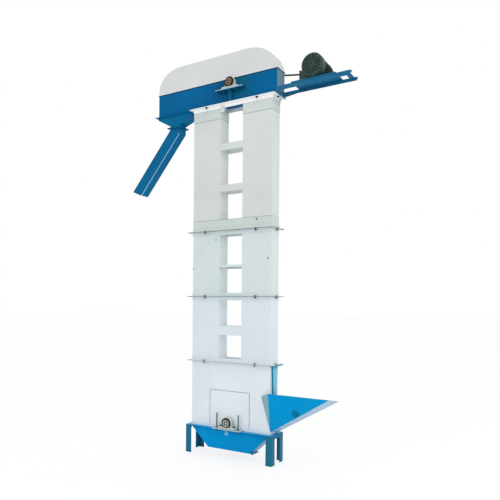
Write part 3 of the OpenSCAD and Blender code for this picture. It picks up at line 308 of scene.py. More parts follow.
# %% Bare metals
def bare_metal(name, colour, tarnish, roughness, tarnish_amount, grain_mm, stretch=(1, 1, 1)):
    material, tree, place = start_material(name)
    blotches = ramp(tree, noise(tree, place, 14, 5.0), 0.45, 0.68, 0.0, tarnish_amount)
    body = mix(tree, blotches, linear(colour), linear(tarnish))
    grain = noise(tree, place, grain_mm, 2.0, stretch)
    rough = ramp(tree, grain, 0.3, 0.7, roughness - 0.08, roughness + 0.10)
    principled(tree, body, rough, bump(tree, grain, 0.15, 0.0005), {"Metallic": 1.0})
    return material


# name, colour, tarnish, roughness, amount of tarnish, size of the grain in mm and its stretch
turned_steel = bare_metal("turned_mild_steel", "#9A9DA0", "#6A5140", 0.34, 0.55, 1.2, (8, 1, 8))
rusty_steel = bare_metal("rusty_sawn_steel", "#6B5245", "#8A6A58", 0.56, 0.8, 3.0)
ground_steel = bare_metal("ground_bearing_steel", "#BFC3C4", "#8F8C84", 0.24, 0.4, 1.0)
zinc_plate = bare_metal("zinc_plated_steel", "#A9ADB0", "#8A8C86", 0.38, 0.5, 2.5)
black_bolts = bare_metal("oiled_black_steel", "#2C2D2C", "#2E2620", 0.52, 0.6, 2.0)
tan_steel = bare_metal("greasy_bearing_steel", "#8A7868", "#5E4636", 0.42, 0.7, 1.4)
galvanised_sheet = bare_metal("galvanised_sheet", "#B4B9BC", "#9DA4A8", 0.36, 0.8, 12.0)

# %% [markdown]
# ## Cast iron, rubber and nylon
# Castings keep the sand's grain under their paint. A V-belt is fabric-covered rubber, matt and a
# little dusty. The cooling fan is moulded nylon.

# %% Castings and polymers
def rough_coat(name, colour, grime, roughness, grain_mm, depth, grime_amount=0.5, gloss=0.4):
    material, tree, place = start_material(name)
    dirt = ramp(tree, noise(tree, place, 34, 5.0), 0.45, 0.7, 0.0, grime_amount)
    body = mix(tree, dirt, linear(colour), linear(grime))
    sand = bump(tree, noise(tree, place, grain_mm, 3.0), 0.35, depth)
    rough = ramp(tree, noise(tree, place, 25, 3.0), 0.3, 0.7, roughness - 0.06, roughness + 0.10)
    principled(tree, body, rough, sand, {"IOR": 1.5, "Specular IOR Level": gloss})
    return material


# name, colour, grime, roughness, size of the grain in mm, its depth in m, amount of grime, gloss
bearing_enamel = rough_coat("grey_enamel_on_cast_iron", "#C3CCC6", "#8E948C", 0.45, 2.2, 0.0012, 0.35)
motor_enamel = rough_coat("dark_enamel_on_cast_iron", "#2C433F", "#45544C", 0.42, 2.6, 0.0010, 0.4, 0.25)
cowl_enamel = rough_coat("green_enamel_on_pressed_steel", "#2B433E", "#41544C", 0.40, 4.0, 0.0003, 0.5, 0.22)
pulley_iron = rough_coat("oiled_cast_iron", "#4B4E4E", "#37322D", 0.52, 2.4, 0.0014)
black_rubber_and_painted_shade = rough_coat("black_rubber_with_painted_shade", "#1B1C1B", "#33322E", 0.50, 2.0, 0.0004, 0.35)
belt_rubber = rough_coat("dusty_belt_rubber", "#262728", "#4A4843", 0.78, 1.6, 0.0006)
fan_nylon = rough_coat("moulded_black_nylon", "#1C1D1E", "#2E2F2F", 0.55, 3.0, 0.0003, 0.3)
pale_gasket = rough_coat("pale_gasket_rubber", "#8FBDBA", "#7A9C98", 0.60, 2.0, 0.0004, 0.4)
grey_mastic = rough_coat("grey_joint_mastic", "#8A938E", "#59605A", 0.65, 6.0, 0.0010, 0.6)
mastic_and_painted_shade = rough_coat("joint_mastic_and_painted_shade", "#6C8A82", "#35483F", 0.65, 6.0, 0.0010, 0.7)
black_mastic = rough_coat("squeezed_out_mastic", "#7E8480", "#121413", 0.65, 6.0, 0.0010, 1.0)

# %% [markdown]
# ## A finish for every node
# One table says which paint or metal each piece of the frame has. It is turned round into a look-up
# by node, so that a rounded copy or a dressed bolt can ask for the finish of the piece it replaces.

# %% Every node gets its finish
LEGS = [f"base_leg_{side}_{end}" for side in ("front", "rear") for end in ("left", "right")]
BLOCKS = [f"{where}_block_{side}" for where in ("head", "boot") for side in ("front", "rear")]
DUCTS = [f"{level}_{side}_duct" for level in ("lower", "middle", "upper") for side in ("left", "right")]
FINISH = {
    hood_white: ["head_hood"],
    upper_white: [*DUCTS[4:], "upper_frame"],
    collar_white: ["upper_collars"],
    middle_white: [*DUCTS[2:4], "middle_frame"],
    lower_white_painted_light: [*DUCTS[:2], "lower_frame"],
    boot_white_painted_light: ["boot_casing", "boot_cover_front", "boot_cover_rear"],
    deep_blue_enamel: ["head_casing", "head_bracket_front", "head_bracket_rear", "head_fasteners"],
    spout_blue_enamel: ["discharge_spout"],
    funnel_blue_enamel: ["discharge_transition"],
    bright_blue_enamel: ["boot_trough"],
    hopper_enamel: ["inlet_hopper"],
    # The side plate's pale cyan is lighter than its paint, for the light it gets: painted light
    pale_blue_with_painted_light: ["inlet_side_plate"],
    # The gate wears the lighter blue of the painted floor reflection
    painted_reflection_blue: ["cleanout_gate"],
    teal_blue_enamel: ["base_frame", *LEGS],
    rail_enamel: ["motor_rail_front", "motor_rail_rear", "rail_cross_bars", "motor_base_plate"],
    pale_wash: ["take_up_plate_front", "take_up_plate_rear"],
    black_bolts: ["casing_bolts"],
    zinc_plate: ["bucket_bolts", "motor_bolts"],
    oversprayed_zinc: ["take_up_rods", "take_up_nuts"],
    turned_steel: ["head_shaft", "boot_shaft", "head_drum", "boot_drum", "motor_rotor"],
    galvanised_sheet: ["ascending_buckets", "descending_buckets"],
    bearing_enamel: BLOCKS,
    motor_enamel: ["motor_frame", "motor_end_shields", "terminal_box"],
    cowl_enamel: ["fan_cowl"],
    pulley_iron: ["driven_pulley", "motor_pulley"],
    belt_rubber: ["elevator_belt", "drive_belt"],
    fan_nylon: ["cooling_fan"],
}
finish_of = {name: material for material, names in FINISH.items() for name in names}
for name, node in frame["nodes"].items():
    node.data.materials.clear()
    node.data.materials.append(finish_of[name])
print(len(finish_of), "nodes have", len(FINISH), "finishes")

# %% [markdown]
# ## Rounding the edges
# A sheet's edge or a casting's corner is never perfectly sharp, and the thin light line along it is
# what tells the eye that it is real. The frame's meshes are loose triangles, so a copy is taken, its
# doubled points are merged, its flat faces are joined again, and a Bevel modifier rounds every
# corner that turns by more than 30 degrees.

# %% Helpers: finish a mesh, and let it stand for a node
body_of = {name: body for body, names in frame["record"]["behaviour"]["bodies"].items() for name in names}


def shade(bm, smooth_deg):
    """Smooth faces, with a sharp edge wherever two of them meet at more than smooth_deg."""
    for face in bm.faces:
        face.smooth = True
    for edge in bm.edges:
        edge.smooth = len(edge.link_faces) == 2 and edge.calc_face_angle(0) < math.radians(smooth_deg)


def to_mesh(bm, name):
    mesh = bpy.data.meshes.new(name)
    bm.to_mesh(mesh)
    bm.free()
    return mesh


def round_edges(piece, width_mm, segments=2):
    bevel = piece.modifiers.new("round_edges", "BEVEL")
    bevel.width = width_mm / 1000
    bevel.segments = segments
    bevel.limit_method = "ANGLE"
    bevel.angle_limit = math.radians(30)
    bevel.harden_normals = True


def stand_for(piece, node):
    """Hides the node, so that the piece is seen instead of it."""
    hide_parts(node)


def finished_piece(name, bm, material, body, smooth_deg=35, bevel_mm=0.0):
    """Makes an object of a bmesh, smooths its gentle edges and rounds its sharp ones."""
    bmesh.ops.recalc_face_normals(bm, faces=bm.faces)
    shade(bm, smooth_deg)
    mesh = to_mesh(bm, name)
    mesh.materials.append(material)
    piece = linked(name, mesh)
    if bevel_mm:
        round_edges(piece, bevel_mm)
    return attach(piece, body)


# %% Helpers: a node's mesh, and a rounded copy of it
def merged(node):
    """A bmesh of a node with its doubled points merged and its flat faces joined."""
    bm = bmesh.new()
    bm.from_mesh(frame["nodes"][node].data)
    bmesh.ops.remove_doubles(bm, verts=bm.verts, dist=0.00002)
    bmesh.ops.dissolve_limit(bm, angle_limit=math.radians(0.5), verts=bm.verts, edges=bm.edges)
    return bm


def rounded_copy(node, bevel_mm, faces=(), cut_x=None):
    """Copies a node with round edges. faces lists (material, test), and a test picks what it covers."""
    bm = merged(node)
    if cut_x is not None:
        bmesh.ops.bisect_plane(bm, geom=bm.verts[:] + bm.edges[:] + bm.faces[:], dist=0.00001,
                               plane_co=(cut_x, 0, 0), plane_no=(1, 0, 0))
    shade(bm, 30)
    for face in bm.faces:
        face.material_index = 0
        for number, (_, test) in enumerate(faces, 1):
            if test(face.calc_center_median(), face.normal):
                face.material_index = number
    mesh = to_mesh(bm, node + "_rounded")
    for material in [finish_of[node]] + [material for material, _ in faces]:
        mesh.materials.append(material)
    piece = linked(node + "_rounded", mesh)
    round_edges(piece, bevel_mm)
    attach(piece, body_of[node])
    stand_for(piece, node)


# %% [markdown]
# ## Two paints on one piece
# Some pieces have a second colour where paint was worn off or sprayed over. A test on a face's centre
# `c` and normal `n` picks the faces that get it. Where the colour stops in the middle of a face, the
# copy is first cut there with `bisect_plane`.

# %% Round the plain steelwork
band_low, band_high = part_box("head_casing")
bracket_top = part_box("head_bracket_front")[1].z
upper_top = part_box("upper_frame")[1].z
side_x = right_high.x

TWO_TONE = {
    # The right-hand end of the band, which faces the key lamp, is grey-blue: painted sheen as well as
    # weathering
    "head_casing": [(sheen_and_weathered_blue, lambda c, n: n.x > 0.9 and c.x > band_high.x - 0.002)],
    # The front edge of the bracket plate has lost its paint
    "head_bracket_front": [(pale_edge, lambda c, n: n.y < -0.9 and c.z > bracket_top - 0.01)],
    # The hopper's wings are lighter where they turn to the light: painted light. Its floor plate is lighter
    # underneath, a painted reflection of the floor, and streaky
    "inlet_hopper": [(painted_light_teal, lambda c, n: c.x < side_x - 0.005),
                     (painted_reflection_blue, lambda c, n: n.z < -0.4 and c.x > side_x + 0.02)],
    # The trough's sloping ends are lighter underneath: a painted reflection of the floor
    "boot_trough": [(painted_reflection_blue, lambda c, n: n.x > 0.4 and n.z < -0.3)],
    "inlet_side_plate": [(fold_teal, lambda c, n: n.y < -0.7)],
    # The boot's top flange was sprayed together with the side plate under it
    "boot_casing": [(fold_teal, lambda c, n: c.x > side_x + 0.002)],
    # The flange that carries the head is pure white on its lower, front and right-hand faces: a painted
    # highlight
    "upper_frame": [(painted_highlight_white, lambda c, n: c.z > upper_top - 0.025
                     and (n.z < -0.9 or n.y < -0.9 or n.x > 0.9))],
    # The gate's front edge has the trough's darker blue
    "cleanout_gate": [(deep_blue_enamel, lambda c, n: n.y < -0.5)],
    # The rails' right-hand ends, which face the key lamp, are grey-blue: painted sheen as well as wear
    "motor_rail_front": [(sheen_and_weathered_blue, lambda c, n: n.x > 0.9)],
    "motor_rail_rear": [(sheen_and_weathered_blue, lambda c, n: n.x > 0.9)],
    # Blue paint from the trough went over the front of the base frame
    "base_frame": [(bright_blue_enamel, lambda c, n: n.y < -0.9 or n.z > 0.9)],
}
CUT_X = {"boot_casing": side_x + 0.002}

ROUND_MM = {
    0.4: ["upper_collars"],
    0.6: ["boot_casing", "boot_cover_front", "boot_cover_rear", "inlet_hopper", "head_casing", "head_hood",
          "discharge_transition", "discharge_spout", *DUCTS, "take_up_nuts", "motor_pulley"],
    0.9: ["boot_trough", "inlet_side_plate", "lower_frame", "middle_frame", "upper_frame", "cleanout_gate",
          "motor_frame", "driven_pulley", "elevator_belt", "drive_belt", "head_shaft", "boot_shaft"],
    1.2: ["base_frame", *LEGS, "head_bracket_front", "head_bracket_rear", "motor_rail_front",
          "motor_rail_rear", "rail_cross_bars", "take_up_plate_front", "take_up_plate_rear",
          "motor_base_plate", "motor_end_shields", "terminal_box"],
}
for width, names in ROUND_MM.items():
    for node in names:
        rounded_copy(node, width, TWO_TONE.get(node, ()), CUT_X.get(node))
print(sum(len(names) for names in ROUND_MM.values()), "pieces have rounded edges")

# %% [markdown]
# ## Bolts with washers
# The frame's bolts are plain prisms. Real hexagon bolts have a chamfered crown and lie on a washer,
# and the end of the shank stands a few threads proud of the nut. Each bolt's place is read from the
# frame: every separate solid in a node is an island of its mesh, and its box says where it is.

# %% Helpers: separate solids, discs and hexagons
def islands(node):
    """The lowest and highest corner of each separate solid in a node."""
    bm = merged(node)
    left = set(bm.verts)
    boxes = []
    while left:
        group, queue = [], [left.pop()]
        while queue:
            vert = queue.pop()
            group.append(vert.co.copy())
            near = {edge.other_vert(vert) for edge in vert.link_edges} & left
            left -= near
            queue += near
        low = Vector([min(co[i] for co in group) for i in range(3)])
        high = Vector([max(co[i] for co in group) for i in range(3)])
        boxes.append((low, high))
    bm.free()
    return sorted(boxes, key=lambda corners: tuple(round(x, 4) for x in corners[0]))


def disc(bm, foot, radius, height, sides=24, radius_top=None):
    """A cylinder, cone or prism that stands on the point foot, with its axis upwards."""
    top = radius if radius_top is None else radius_top
    place = Matrix.Translation(Vector(foot) + Vector((0, 0, height / 2)))
    made = bmesh.ops.create_cone(bm, cap_ends=True, segments=sides, radius1=radius, radius2=top,
                                 depth=height, matrix=place)
    return made["verts"]


def hexagon(bm, foot, across, height, crown_up=True):
    """A hexagonal head or nut: a prism with a turned chamfer on its free side."""
    corner = across / math.sqrt(3)
    chamfer = 0.16 * height
    base = Vector(foot)
    if crown_up:
        disc(bm, base, corner, height - chamfer, 6)
        disc(bm, base + Vector((0, 0, height - chamfer)), corner, chamfer, 6, corner * 0.86)
    else:
        disc(bm, base + Vector((0, 0, chamfer)), corner, height - chamfer, 6)
        disc(bm, base, corner * 0.86, chamfer, 6, corner)


# %% Bolts, nuts and washers
def bolt_set(name, node, size_mm, washer_share=1.02):
    """Dresses each vertical bolt of a node: crown, washers, nut and the end of the thread."""
    size, washer = size_mm / 1000, 0.0016
    head, nut, across = 0.65 * size, 0.8 * size, 1.6 * size
    bm = bmesh.new()
    for low, high in islands(node):
        x, y = (low.x + high.x) / 2, (low.y + high.y) / 2
        nut_top = low.z + 1.5 * size
        disc(bm, (x, y, low.z), size * 0.46, high.z - low.z - head / 2, 16)
        disc(bm, (x, y, high.z - head), size * washer_share, washer)
        hexagon(bm, (x, y, high.z - head + washer), across, head - washer)
        disc(bm, (x, y, nut_top - washer), size * washer_share, washer)
        hexagon(bm, (x, y, nut_top - nut), across, nut - washer, crown_up=False)
    stand_for(finished_piece(name, bm, finish_of[node], body_of[node], 25), node)


bolt_set("casing_bolt_set", "casing_bolts", 10, washer_share=1.25)
bolt_set("head_bolt_set", "head_fasteners", 14)
print(len(islands("casing_bolts")), "casing bolts")

# %% [markdown]
# ## Screw threads
# The take-up rods are studding: a thread from end to end. A thread is a small triangular tooth
# swept round and upwards together. `bmesh.ops.spin` does both, because its `dvec` lifts the copy a
# little at each step. One turn lifts it by the pitch, so a rod is one spun turn, copied up the rod.

# %% Threaded rods
THREAD_STEPS = 14
ROD_PITCH, ROD_RADIUS = 0.00175, 0.006
TOOTH_DEPTH = 0.61  # of the pitch, as in a metric thread


def threaded_rod(bm, foot, radius, pitch, length):
    """A vertical threaded rod that stands on the point foot."""
    depth = TOOTH_DEPTH * pitch
    turns = round(length / pitch) - 1
    base = Vector(foot)
    before = set(bm.verts)
    tooth = [bm.verts.new(base + Vector((radius - depth, 0, 0))),
             bm.verts.new(base + Vector((radius, 0, pitch * 0.5))),
             bm.verts.new(base + Vector((radius - depth, 0, pitch)))]
    edges = [bm.edges.new(pair) for pair in zip(tooth, tooth[1:])]
    bmesh.ops.spin(bm, geom=tooth + edges, cent=base, axis=(0, 0, 1), dvec=(0, 0, pitch / THREAD_STEPS),
                   angle=math.tau, steps=THREAD_STEPS, use_merge=False)
    turn = [vert for vert in bm.verts if vert not in before]
    faces = list({face for vert in turn for face in vert.link_faces})
    for number in range(1, turns):
        copy = bmesh.ops.duplicate(bm, geom=faces)
        verts = [item for item in copy["geom"] if isinstance(item, bmesh.types.BMVert)]
        bmesh.ops.translate(bm, verts=verts, vec=(0, 0, number * pitch))
    disc(bm, base, radius - depth, length, THREAD_STEPS)


rod_bm = bmesh.new()
for low, high in islands("take_up_rods"):
    foot = Vector(((low.x + high.x) / 2, (low.y + high.y) / 2, low.z))
    threaded_rod(rod_bm, foot, ROD_RADIUS, ROD_PITCH, high.z - low.z)
    hexagon(rod_bm, foot + Vector((0, 0, 0.011)), 0.019, 0.0100)
bmesh.ops.remove_doubles(rod_bm, verts=rod_bm.verts, dist=0.00003)
rods = finished_piece("threaded_rods", rod_bm, oversprayed_zinc, "root", 50)
stand_for(rods, "take_up_rods")
print("rods:", len(rods.data.polygons), "faces")

# %% [markdown]
# ## Cast housings by voxel remeshing
# A pillow block is cast in sand, and every inner corner of a casting has a fillet, because sharp
# corners crack. Modelling fillets where a tube, a web and a foot meet is hard with edge bevels. It
# is easy the way a pattern maker does it: join plain bodies, melt them together and rub them down.
# A voxel Remesh melts them, a Smooth modifier rubs them down, and a Boolean bores them afterwards.

# %% Helpers: plain bodies, and meshes after their modifiers
def box_body(bm, low, high):
    """A plain block between two corners, in mm."""
    size = [(b - a) / 1000 for a, b in zip(low, high)]
    middle = Vector([(a + b) / 2000 for a, b in zip(low, high)])
    place = Matrix.Translation(middle) @ Matrix.Diagonal((*size, 1.0))
    bmesh.ops.create_cube(bm, size=1.0, matrix=place)


def tube_body(bm, radius, y0, y1, x=0.0, z=0.0, sides=64):
    """A cylinder along Y, in mm."""
    turn = Matrix.Rotation(math.radians(90), 4, "X")
    place = Matrix.Translation(Vector((x, (y0 + y1) / 2, z)) / 1000) @ turn
    bmesh.ops.create_cone(bm, cap_ends=True, segments=sides, radius1=radius / 1000, radius2=radius / 1000,
                          depth=(y1 - y0) / 1000, matrix=place)


def drawn_mesh(worker):
    """The mesh of an object as it is drawn, after its modifiers. The object is then thrown away."""
    bpy.context.view_layer.update()
    result = bpy.data.meshes.new_from_object(worker.evaluated_get(bpy.context.evaluated_depsgraph_get()))
    bpy.data.objects.remove(worker)
    return result


def mesh_of(bm, name):
    bmesh.ops.recalc_face_normals(bm, faces=bm.faces)
    return to_mesh(bm, name)


def bored(mesh, cutter_bm):
    """Cuts the cutter's shape out of a mesh with a Boolean modifier."""
    cutter = linked("cutter", mesh_of(cutter_bm, "cutter"))
    worker = linked("worker", mesh)
    boolean = worker.modifiers.new("bore", "BOOLEAN")
    boolean.operation, boolean.object, boolean.solver = "DIFFERENCE", cutter, "EXACT"
    result = drawn_mesh(worker)
    bpy.data.objects.remove(cutter)
    return result


# %% Cast and bore one housing
BLOCK_MM = 54  # from the foot to the shaft
HOLE_X, PAD_X = 0.073, 0.0665
cutter_bm = bmesh.new()
tube_body(cutter_bm, 42.5, -40, 40, sides=96)
for side in (-1, 1):
    # Long foot holes, so that the block can be shifted before its bolts are drawn tight
    foot_hole = disc(cutter_bm, (side * HOLE_X, 0, -0.060), 0.0078, 0.030, 32)
    bmesh.ops.scale(cutter_bm, verts=foot_hole, vec=(1.35, 1, 1),
                    space=Matrix.Translation((-side * HOLE_X, 0, 0)))

pattern_bm = bmesh.new()
box_body(pattern_bm, (-81, -27, -BLOCK_MM), (81, 27, -38))
for side in (-1, 1):
    disc(pattern_bm, (side * PAD_X, 0, -BLOCK_MM / 1000), 0.0272, 0.018, 48)
box_body(pattern_bm, (-58, -19, -BLOCK_MM), (58, 19, -30))
box_body(pattern_bm, (-50, -19, -BLOCK_MM), (50, 19, 0))
tube_body(pattern_bm, 52, -19, 19)
tube_body(pattern_bm, 47, -22, 22)
disc(pattern_bm, (0, 0, 0.045), 0.008, 0.0118, 32)
pattern = linked("pattern", mesh_of(pattern_bm, "pattern"))
melt = pattern.modifiers.new("melt_together", "REMESH")
melt.mode, melt.voxel_size = "VOXEL", 0.0022
rub = pattern.modifiers.new("rub_down", "SMOOTH")
rub.factor, rub.iterations = 0.5, 9
casting = bored(drawn_mesh(pattern), cutter_bm)
for polygon in casting.polygons:
    polygon.use_smooth = True
casting.set_sharp_from_angle(angle=math.radians(40))
casting.materials.clear()
casting.materials.append(bearing_enamel)

# %% The four housings
bearing_at = {}
for node in BLOCKS:
    low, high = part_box(node)
    middle = Vector(((low.x + high.x) / 2, (low.y + high.y) / 2, low.z + BLOCK_MM / 1000))
    bearing_at[node] = middle
    housing_mesh = casting.copy()
    housing_mesh.transform(Matrix.Translation(middle))
    housing = linked(node + "_casting", housing_mesh)
    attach(housing, body_of[node])
    stand_for(housing, node)
print("a casting has", len(casting.polygons), "faces")

# %% [markdown]
# ## Bearing inserts
# A turned part is one profile spun about its axis. Each bearing has a ground outer race, a cover over
# its lip seal, which grease has turned black on the outer side, an inner ring with two set screws, a
# locking collar that grips the shaft, and a grease nipple. The black of the outer cover reaches out
# over the housing's face: grease, and painted shade of the recess round the race.

# %% Helper: spin a profile, and the profiles of a bearing
def spun(bm, middle, profile, y_sign=1, steps=72):
    """Spins a closed profile of (radius, distance along the axis) in mm about an axis along Y."""
    ring = [bm.verts.new(Vector(middle) + Vector((radius, y_sign * along, 0)) / 1000)
            for radius, along in profile]
    edges = [bm.edges.new((ring[i - 1], ring[i])) for i in range(len(ring))]
    bmesh.ops.spin(bm, geom=ring + edges, cent=middle, axis=(0, 1, 0), angle=math.tau, steps=steps,
                   use_merge=True)


# Profiles in mm: distance from the axis, and distance outwards from the middle of the bearing
RACE = [(42.4, -10), (41.4, -11), (37.5, -11), (36.9, -10.4), (36.9, 10.4), (37.5, 11), (41.4, 11),
        (42.4, 10)]
# The outer cover's black reaches out over the housing's face: grease, and painted shade of the recess
COVER = [(29.6, 12), (29.6, 17.6), (33, 18.8), (40, 21.6), (45.5, 24.2), (48.4, 24.8), (49.8, 23.6),
         (49.4, 21.8), (46.8, 21.4), (42.3, 19), (42.3, 12)]
RING = [(28.62, 12), (28.62, 23.6), (27.7, 24.8), (23.4, 24.8), (22.7, 24.2), (22.7, 12)]
COLLAR = [(22.7, 24.8), (31.6, 24.8), (32.4, 25.6), (32.4, 30.6), (31.4, 31.6), (24.0, 31.6), (22.7, 30.4)]
print("profiles of", len(RACE), len(COVER), len(RING), "and", len(COLLAR), "points")

# %% Races, seals, set screws and nipples
SET_SCREWS_DEG = (59, 121)
NIPPLE_UP = 0.0560
ring_bms = {"head_rotor": bmesh.new(), "boot_rotor": bmesh.new()}
fixed_bms = {body: [bmesh.new() for kind in range(4)] for body in ("root", "boot_take_up")}
for node, middle in bearing_at.items():
    races, seals, nipples, shields = fixed_bms[body_of[node]]
    rings = ring_bms["head_rotor" if node.startswith("head") else "boot_rotor"]
    outer = -1 if "front" in node else 1
    spun(races, middle, RACE)
    spun(seals, middle, COVER, outer)
    spun(shields, middle, COVER, -outer)
    spun(rings, middle, COLLAR, outer)
    for y_sign in (-1, 1):
        spun(rings, middle, RING, y_sign)
    # Two socket set screws on the outer side of the inner ring
    for angle in SET_SCREWS_DEG:
        turn = Matrix.Rotation(math.radians(90 - angle), 4, "Y")
        spot = Matrix.Translation(middle + Vector((0, outer * 0.0215, 0))) @ turn
        bmesh.ops.create_cone(rings, cap_ends=True, segments=12, radius1=0.0021, radius2=0.0017,
                              depth=0.0016, matrix=spot @ Matrix.Translation((0, 0, 0.0287)))
    # A grease nipple on its boss: hexagon, neck and ball
    top = middle + Vector((0, 0, NIPPLE_UP))
    hexagon(nipples, top, 0.008, 0.0042)
    disc(nipples, top + Vector((0, 0, 0.0042)), 0.0019, 0.0036, 12, 0.0014)
    bmesh.ops.create_uvsphere(nipples, u_segments=12, v_segments=8, radius=0.0021,
                              matrix=Matrix.Translation(top + Vector((0, 0, 0.0086))))
for body, (races, seals, nipples, shields) in fixed_bms.items():
    finished_piece("bearing_races_" + body, races, ground_steel, body, 30)
    finished_piece("bearing_seals_" + body, seals, black_rubber_and_painted_shade, body, 40)
    finished_piece("bearing_shields_" + body, shields, bearing_enamel, body, 40)
    finished_piece("grease_nipples_" + body, nipples, zinc_plate, body, 30)
for (body, rings), steel in zip(ring_bms.items(), (tan_steel, ground_steel)):
    finished_piece("inner_rings_" + body, rings, steel, body, 30)
print(len(bearing_at), "bearings")

# %% [markdown]
# ## Slot plates
# The boot's shaft passes through upright slots, so that the take-up can lift it. A thin plate on the
# shaft covers each slot and slides with it, or the grain would run out there.

# %% Two thin plates that slide with the bearings
for node in BLOCKS[2:]:
    axis = bearing_at[node] * 1000
    outward = -1 if "front" in node else 1
    face = (front_y if outward < 0 else rear_y) * 1000
    inner, outer = sorted((face + outward * 2.1, face + outward * 2.9))
    plate_bm, hole_bm = bmesh.new(), bmesh.new()
    box_body(plate_bm, (axis.x - 42, inner, axis.z - 52), (axis.x + 42, outer, axis.z + 74))
    corners = [edge for edge in plate_bm.edges if abs((edge.verts[0].co - edge.verts[1].co).y) > 0.0005
               and abs((edge.verts[0].co - edge.verts[1].co).z) < 0.0001]
    bmesh.ops.bevel(plate_bm, geom=corners, offset=0.012, segments=5, profile=0.5, affect="EDGES",
                    material=-1)
    tube_body(hole_bm, 25, inner - 5, outer + 5, axis.x, axis.z)
    plate_mesh = bored(mesh_of(plate_bm, "slot_plate"), hole_bm)
    plate_bm = bmesh.new()
    plate_bm.from_mesh(plate_mesh)
    finished_piece(node.replace("block", "slot_plate"), plate_bm, boot_white_painted_light, body_of[node], 30)
print("a slot plate is", round(outer - inner, 1), "mm thick")

# %% [markdown]
# ## Shaft ends
# A shaft is cut off, faced and chamfered on the lathe, and the lathe's tailstock leaves a conical
# hole in its middle. That is one spun profile. The head's ends have rusted, and the boot's have
# blackened apart from a ring where something has rubbed them bright.

# %% Shaft ends with their centre holes
SHAFT_R = 22.5
END = [(1.2, -6), (4.2, 0.35), (SHAFT_R - 1.6, 0.35), (SHAFT_R - 0.1, -1.1), (SHAFT_R - 0.1, -7)]
RUBBED = [(4.0, 0.2), (5.0, 0.7), (11.4, 0.7), (12.0, 0.2)]
for where, material in (("head", rusty_steel), ("boot", pulley_iron)):
    low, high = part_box(where + "_shaft")
    axis = bearing_at[where + "_block_front"]
    for label, y, outward in (("_front", low.y, -1), ("_rear", high.y, 1)):
        spot = Vector((axis.x, y, axis.z))
        end_bm = bmesh.new()
        spun(end_bm, spot, END, outward, 64)
        finished_piece(where + "_shaft_end" + label, end_bm, material, where + "_rotor", 25)
        if where == "boot":
            ring_bm = bmesh.new()
            spun(ring_bm, spot, RUBBED, outward, 48)
            finished_piece("centre_ring" + label, ring_bm, ground_steel, "boot_rotor", 25)
print("the shafts end", round(low.y, 3), "and", round(high.y, 3), "m from the frame's origin")

# %% [markdown]
# ## Weld, mastic and gaskets
# Where two plates meet there is always a bead: a weld with its ripples, a line of mastic pressed
# out of a flange, or a rubber gasket that looks out from under a cover. A curve with a round
# section draws all three. A ripple is a radius that swells and shrinks from one point to the next.

# %% Helpers: a bead along a line, and the seams of a node
def bead(name, lines, radius_mm, material, body, ripple=0.0, step_mm=4.0):
    """Lays a bead along each line of points, and makes one piece of them all."""
    curve = bpy.data.curves.new(name + "_path", "CURVE")
    curve.dimensions = "3D"
    curve.bevel_depth = radius_mm / 1000
    curve.bevel_resolution = 1
    curve.use_fill_caps = True
    for points in lines:
        spots = []
        for a, b in zip(points, points[1:]):
            count = max(1, round((b - a).length * 1000 / step_mm)) if ripple else 1
            spots += [a.lerp(b, i / count) for i in range(count)]
        spots.append(points[-1])
        spline = curve.splines.new("POLY")
        spline.points.add(len(spots) - 1)
        for i, (point, spot) in enumerate(zip(spline.points, spots)):
            point.co = (*spot, 1.0)
            point.radius = 1.0 + ripple * (1 if i % 2 else -1)
    bm = bmesh.new()
    bm.from_mesh(drawn_mesh(linked(name + "_path", curve)))
    finished_piece(name, bm, material, body, 70)


def seams(node, first, second):
    """The edges where a face of the node that passes one test meets a face that passes the other."""
    bm = merged(node)
    found = []
    for edge in bm.edges:
        if len(edge.link_faces) == 2:
            a, b = [(face.calc_center_median(), face.normal) for face in edge.link_faces]
            if (first(*a) and second(*b)) or (first(*b) and second(*a)):
                found.append([vert.co.copy() for vert in edge.verts])
    bm.free()
    return found


def loop(low, high, z, sides="FRLB"):
    """The four sides of a rectangle at one height, each as a line of two points."""
    a, b = Vector((low.x, low.y, z)), Vector((high.x, low.y, z))
    c, d = Vector((high.x, high.y, z)), Vector((low.x, high.y, z))
    return [line for key, line in zip("FRBL", ([a, b], [b, c], [c, d], [d, a])) if key in sides]


# %% Welds on the blue steelwork
def front(c, n):
    return n.y < -0.6


def rear(c, n):
    return n.y > 0.6


def slanted(c, n):
    return abs(n.x) > 0.25 and abs(n.y) < 0.5


END_GAP = 0.004  # a weld stops a little before the sheet's edge
for node in ("boot_trough", "discharge_transition", "discharge_spout"):
    lines = []
    for a, b in seams(node, front, slanted) + seams(node, rear, slanted):
        if (b - a).length > 0.05:
            gap = (b - a).normalized() * END_GAP
            lines.append([a + gap, b - gap])
    bead(node + "_welds", lines, 1.8, finish_of[node], body_of[node], 0.18)
    print(node, "has", len(lines), "welds")

leg_welds = []
for node in LEGS:
    low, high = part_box(node)
    leg_welds += loop(low, high, high.z, "F" if "front" in node else "B")
    leg_welds += loop(low, high, high.z, "L" if "left" in node else "R")
bead("leg_welds", leg_welds, 2.2, teal_blue_enamel, "root", 0.2)

# The spout's front corner was welded from outside. The bead is a pale glossy blue: a painted highlight along
# the corner
painted_highlight_blue = painted_steel("blue_painted_highlight", "#8CC4EC", "#6EB2E2", "#8CC4EC", 0.25, dust_amount=0.0,
                           streaks=0.0, gloss=0.5, coat=0.5)
shine = []
for a, b in seams("discharge_spout", front, lambda c, n: n.x > 0.5 and n.z < -0.2):
    if (b - a).length > 0.3:
        middle = (a + b) / 2
        shine.append([point.lerp(middle, 0.012) + Vector((-0.002, -0.0006, 0)) for point in (a, b)])
bead("spout_corner_weld_highlight", shine, 4.2, painted_highlight_blue, "root", 0.08)
print(len(shine), "corners of the spout shine")

